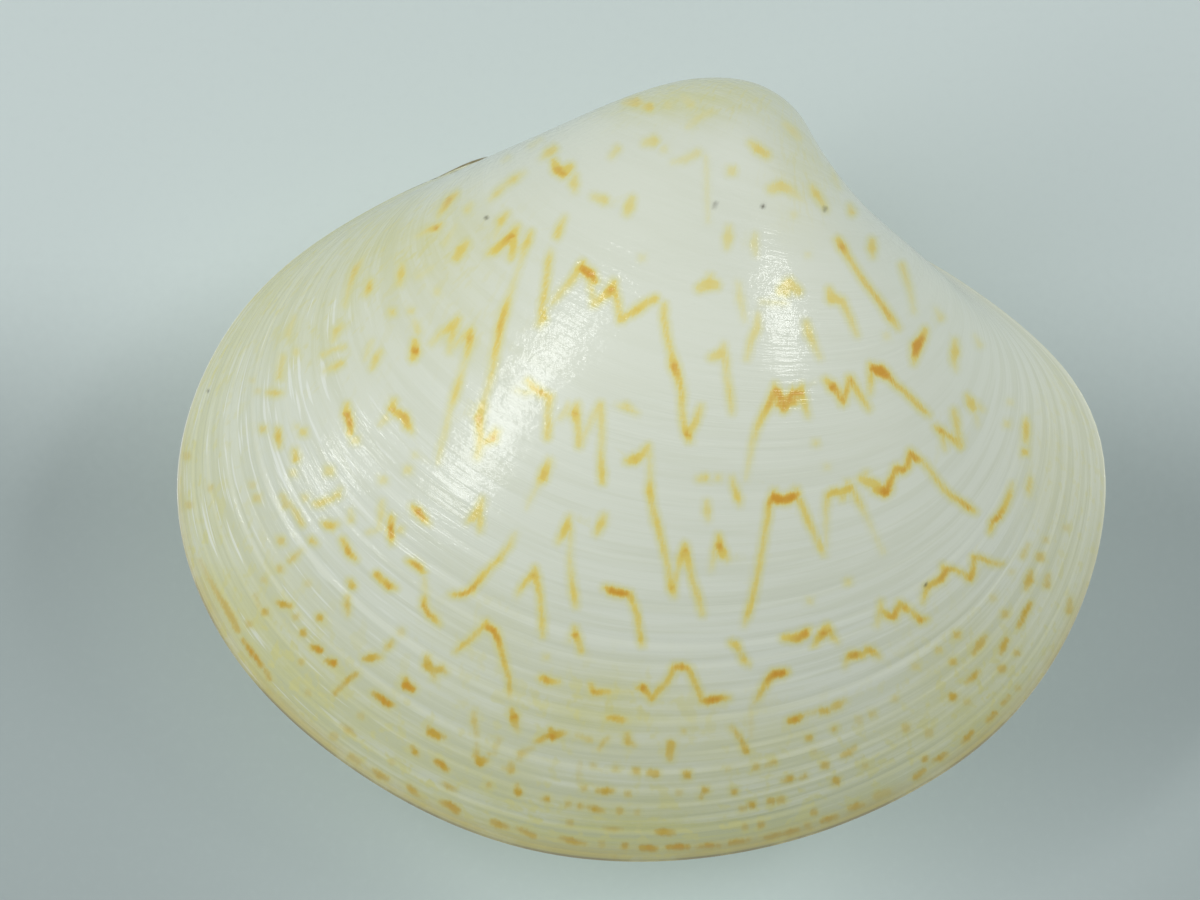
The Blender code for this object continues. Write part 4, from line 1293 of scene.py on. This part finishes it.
def growth_noise(kit, lines_in_mm, stretch, detail, roughness=0.5):
    """Noise that runs on in long lines round the shell. lines_in_mm is how close the lines are."""
    around = kit.separate(kit.attribute("around", "Vector"))
    along = kit.times(kit.attribute("grown"), lines_in_mm)
    vector = kit.combine(along, kit.times(around[0], stretch), kit.times(around[1], stretch))
    return kit.noise(vector, 1.0, detail, roughness)


def shell_ground(kit, lines, cloud, grown, around):
    """The body colour, darker towards the umbo as painted shade, with yellow patches, bands along the
    growth lines and painted glints low at the back.
    """
    # Painted shade: the body darkens towards the umbo
    body = kit.mix(kit.smooth(grown, 30.0, 42.0), BODY_COLOUR, UMBO_SHADE_COLOUR)
    patchy = kit.plus(kit.smooth(cloud, 0.2, 0.8, 0.5, 1.15), kit.smooth(lines, 0.4, 0.6, -0.25, 0.15))
    body = kit.mix(kit.times(kit.attribute("yellow"), patchy), body, YELLOW_COLOUR)
    banding = kit.times(kit.smooth(lines, 0.44, 0.60, 0.0, 0.45), kit.smooth(grown, 6.0, 24.0, 1.0, 0.2))
    body = kit.mix(banding, body, LINE_COLOUR)
    smears = growth_noise(kit, 1.1, 26.0, 2.0, 0.6)
    smeared = kit.times(kit.smooth(smears, 0.52, 0.66, 0.0, 0.9), kit.attribute("yellow"))
    body = kit.mix(smeared, body, HALO_COLOUR)
    # Painted glints: whitish lines along the growth lines low at the back, a painted highlight where the
    # left light catches the ridges
    low = kit.smooth(grown, 12.0, 18.0, 1.0, 0.0)
    low_back = kit.times(low, kit.smooth(around[0], -0.2, 0.02, 1.0, 0.0))
    low_back = kit.times(low_back, kit.smooth(around[1], -0.9, -0.2, 1.0, 0.0))
    painted_glints = kit.smooth(growth_noise(kit, 4.2, 5.0, 1.0), 0.62, 0.70, 0.0, 0.7)
    return kit.mix(kit.times(painted_glints, low_back), body, PAINTED_GLINT_COLOUR)


def shell_marks(kit, body, grown):
    """The ochre marks with ragged edges and a yellow halo, browner near the margin, and the specks."""
    teeth = growth_noise(kit, 2.4, 110.0, 2.0, 0.6)
    grains = kit.noise(kit.place(), 6500.0, 2.0)
    wobble = kit.plus(kit.times(teeth, 3.4), kit.times(grains, 1.6))
    depth = kit.plus(kit.attribute("mark_depth"), kit.math("SUBTRACT", wobble, 2.5))
    strength = kit.attribute("mark_strength")
    halo = kit.times(kit.smooth(depth, -7.0, 1.0, 0.0, 0.65), kit.smooth(strength, 0.0, 0.7))
    body = kit.mix(halo, body, HALO_COLOUR)
    ripeness = kit.times(kit.smooth(strength, 0.2, 0.9, 0.3, 1.0), kit.smooth(depth, -2.0, 2.2))
    low = kit.smooth(grown, 4.0, 12.0, 1.0, 0.0)
    faint = kit.mix(low, FAINT_MARK, LOW_FAINT_MARK)
    ink = kit.mix(ripeness, faint, kit.mix(low, STRONG_MARK, LOW_STRONG_MARK))
    core = kit.times(kit.smooth(depth, 0.0, 4.0), kit.smooth(strength, 0.78, 1.0, 0.0, 0.95))
    ink = kit.mix(core, ink, MARK_CORE)
    cover = kit.times(kit.smooth(depth, -2.5, 2.2), kit.smooth(strength, 0.0, 0.8, 0.25, 0.97))
    return kit.mix(kit.attribute("speck"), kit.mix(cover, body, ink), SPECK_COLOUR)


def shell_edge(kit, body, cloud, grown, around):
    """The tan margin, a dark rim of painted shade along the belly and the back where the valves meet, and
    the whitish rim at the back end.
    """
    low_margin = kit.smooth(around[0], -0.75, 0.15, 1.0, 0.0)
    tan = kit.times(kit.smooth(grown, 0.1, 1.7, 0.75, 0.0), kit.smooth(cloud, 0.35, 0.6, 0.5, 1.0))
    body = kit.mix(kit.times(tan, low_margin), body, MARGIN_COLOUR)
    rim = kit.times(kit.smooth(grown, 0.08, 0.26, 1.0, 0.0), kit.smooth(cloud, 0.35, 0.6, 0.4, 0.9))
    # Painted shade: a dark line along the belly and back edge, where the valves meet
    body = kit.mix(kit.times(rim, low_margin), body, MEETING_SHADE_COLOUR)
    back_end = kit.smooth(around[1], -0.97, -0.9, 1.0, 0.0)
    return kit.mix(kit.times(rim, back_end), body, BACK_RIM_COLOUR)


def shell_gloss(kit, coarse_lines, thin_lines, grown, around):
    """A satin body under a glossy coat, rippled by the growth lines and dimpled away from them."""
    kit.put(kit.shader.inputs["Roughness"], kit.smooth(thin_lines, 0.3, 0.7, 0.30, 0.42))
    kit.put(kit.shader.inputs["Specular IOR Level"], 0.35)
    kit.put(kit.shader.inputs["Coat Weight"], 0.7)
    kit.put(kit.shader.inputs["Coat Roughness"], 0.12)
    height = kit.plus(kit.times(coarse_lines, 0.5), kit.times(thin_lines, 0.5))
    height = kit.plus(height, kit.times(growth_noise(kit, 17.0, 4.0, 1.0), 0.12))
    reach = kit.attribute("reach")
    kit.put(kit.shader.inputs["Normal"], kit.bump(kit.times(height, reach), 0.00002))
    ripples = growth_noise(kit, 3.6, 6.0, 2.0)
    glints = kit.times(kit.plus(kit.times(ripples, 0.6), kit.times(height, 0.5)), reach)
    glints = kit.times(glints, kit.smooth(grown, 24.0, 38.0, 1.0, 0.1))
    dimples = kit.times(kit.noise(kit.place(), 2400.0, 3.0, 0.6), kit.smooth(grown, 16.0, 26.0, 0.3, 0.9))
    dimples = kit.times(dimples, kit.smooth(around[1], -0.2, 0.4, 1.0, 0.4))
    kit.put(kit.shader.inputs["Coat Normal"], kit.bump(kit.plus(glints, dimples), 0.00006))


def shell_material(name):
    kit = NodeKit(name)
    grown = kit.attribute("grown")
    around = kit.separate(kit.attribute("around", "Vector"))
    coarse_lines = growth_noise(kit, 1.3, 1.2, 3.0, 0.6)
    thin_lines = growth_noise(kit, 6.0, 1.8, 2.0, 0.6)
    lines = kit.plus(kit.times(coarse_lines, 0.75), kit.times(thin_lines, 0.25))
    cloud = kit.noise(kit.place(), 370.0, 5.0, 0.7)
    body = shell_ground(kit, lines, cloud, grown, around)
    body = shell_marks(kit, body, grown)
    body = shell_edge(kit, body, cloud, grown, around)
    kit.put(kit.shader.inputs["Base Color"], body)
    shell_gloss(kit, coarse_lines, thin_lines, grown, around)
    return kit.material


def ligament_material(name):
    kit = NodeKit(name)
    place = kit.separate(kit.place())
    fibres = kit.combine(kit.times(place[0], 0.12), place[1], place[2])
    strands = kit.noise(fibres, 9000.0, 3.0, 0.6)
    colour = kit.mix(kit.smooth(strands, 0.35, 0.7), LIGAMENT_DARK, LIGAMENT_LIGHT)
    kit.put(kit.shader.inputs["Base Color"], colour)
    kit.put(kit.shader.inputs["Roughness"], kit.smooth(strands, 0.3, 0.7, 0.34, 0.48))
    kit.put(kit.shader.inputs["Normal"], kit.bump(strands, 0.00005))
    return kit.material


def floor_material(name):
    """Pale paper with painted shade that darkens it towards the front, and pools of painted light, and one
    of painted shade, around the shell, the brightest by its belly.
    """
    kit = NodeKit(name)
    place = kit.separate(kit.place())
    grain = kit.noise(kit.place(), 2600.0, 3.0)
    # Painted shade: the paper darkens towards the front
    shade = kit.smooth(place[1], FLOOR_DARK_AT, FLOOR_LIGHT_AT, 1.0, 0.0)
    shade = kit.plus(shade, kit.times(kit.math("SUBTRACT", grain, 0.5), 0.12))
    brightness = 1.0
    # Painted light and painted shade in pools around the shell
    for x, y, reach_x, reach_y, gain in PAINTED_FLOOR_LIGHT:
        across = kit.math("POWER", kit.math("DIVIDE", kit.math("SUBTRACT", place[0], x), reach_x), 2.0)
        up = kit.math("POWER", kit.math("DIVIDE", kit.math("SUBTRACT", place[1], y), reach_y), 2.0)
        painted_pool = kit.math("EXPONENT", kit.times(kit.plus(across, up), -1.0))
        brightness = kit.plus(kit.times(painted_pool, gain), brightness)
    paper = kit.mix(shade, FLOOR_COLOUR, FLOOR_SHADE_COLOUR)
    painted_paper = kit.mix(1.0, paper, kit.combine(brightness, brightness, brightness), "MULTIPLY")
    kit.put(kit.shader.inputs["Base Color"], painted_paper)
    kit.put(kit.shader.inputs["Roughness"], 0.75)
    kit.put(kit.shader.inputs["Specular IOR Level"], 0.2)
    return kit.material


# The set


def make_floor():
    mesh = bpy.data.meshes.new("floor")
    reach = FLOOR_REACH
    corners = [(-reach, -reach), (reach, -reach), (reach, reach), (-reach, reach)]
    mesh.from_pydata([(x, y, -FLOOR_BELOW) for x, y in corners], [], [(0, 1, 2, 3)])
    mesh.materials.append(floor_material("pale_floor"))
    add_object("floor", mesh)


def direction_of(azimuth, elevation):
    around, up = math.radians(azimuth), math.radians(elevation)
    return Vector((math.cos(around) * math.cos(up), math.sin(around) * math.cos(up), math.sin(up)))


def make_light(name, first, last, width, distance, brightness):
    """A long area light, from one direction (azimuth, elevation in degrees) of the shell to another."""
    start, end = direction_of(*first), direction_of(*last)
    middle = (start + end).normalized()
    length = 2.0 * distance * math.tan(0.5 * start.angle(end))
    light = bpy.data.lights.new(name, "AREA")
    light.shape = "RECTANGLE"
    light.size, light.size_y = width, length
    light.energy = brightness * math.pi * width * length
    light.color = LIGHT_COLOUR
    lengthwise = (end - start).normalized()
    turn = Matrix((lengthwise.cross(middle), lengthwise, middle)).transposed().to_4x4()
    add_object(name, light).matrix_world = Matrix.Translation(middle * distance + SHELL_MIDDLE) @ turn


def make_camera():
    data = bpy.data.cameras.new("camera")
    data.lens = CAMERA_LENS
    data.sensor_width = SENSOR
    data.clip_start = CAMERA_SEES_FROM
    data.clip_end = CAMERA_SEES_TO
    camera = add_object("camera", data)
    turn = Matrix(camera_axes()).transposed().to_4x4()
    camera.matrix_world = Matrix.Translation(Vector(CAMERA_AT_MM) * MM) @ turn
    bpy.context.scene.camera = camera


def make_world():
    world = bpy.data.worlds.new("studio")
    world.use_nodes = True
    background = world.node_tree.nodes["Background"]
    background.inputs["Color"].default_value = WORLD_COLOUR
    background.inputs["Strength"].default_value = WORLD_STRENGTH
    bpy.context.scene.world = world


def dress(piece, node, material):
    """Gives a piece its material, attaches it to the root body and hides the CAD node that it stands for.
    """
    piece.data.materials.append(material)
    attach(piece, "root")
    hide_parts(node)


BODY_COLOUR = srgb(226, 229, 212)
YELLOW_COLOUR = srgb(216, 214, 148)
# Painted shade for the umbo
UMBO_SHADE_COLOUR = srgb(210, 213, 189)
LINE_COLOUR = srgb(205, 208, 180)
# Painted glints along the growth lines
PAINTED_GLINT_COLOUR = srgb(242, 244, 232)
HALO_COLOUR = srgb(220, 216, 150)
FAINT_MARK = srgb(230, 226, 160)
STRONG_MARK = srgb(230, 206, 98)
LOW_FAINT_MARK = srgb(218, 206, 128)
LOW_STRONG_MARK = srgb(214, 176, 52)
MARK_CORE = srgb(217, 152, 4)
SPECK_COLOUR = srgb(84, 78, 58)
MARGIN_COLOUR = srgb(206, 188, 116)
# Painted shade along the edge where the valves meet
MEETING_SHADE_COLOUR = srgb(150, 143, 118)
BACK_RIM_COLOUR = srgb(232, 234, 222)
LIGAMENT_DARK = srgb(126, 113, 72)
LIGAMENT_LIGHT = srgb(158, 145, 98)
FLOOR_COLOUR = srgb(207, 217, 215)
# Painted shade of the floor towards the front
FLOOR_SHADE_COLOUR = srgb(166, 176, 175)

shell = shell_material("shell")
dress(make_valve("right_shell", 1.0), "right_valve", shell)
dress(make_valve("left_shell", -1.0), "left_valve", shell)
dress(make_ligament("ligament_strip"), "ligament", ligament_material("horn"))
make_floor()
make_light("left_light", (151.0, 57.0), (207.0, 31.0), 0.07, 0.45, 7.5)
make_light("low_left_light", (178.0, 9.5), (194.0, 14.0), 0.03, 0.45, 11.0)
make_light("right_light", (35.0, 43.0), (2.0, 57.0), 0.055, 0.45, 8.5)
make_light("overhead_light", (180.0, 55.0), (0.0, 55.0), 0.30, 0.50, 0.45)
make_light("back_light", (20.0, 20.0), (75.0, 20.0), 0.25, 0.40, 0.5)
make_world()
make_camera()
bpy.context.scene.view_settings.view_transform = "Standard"
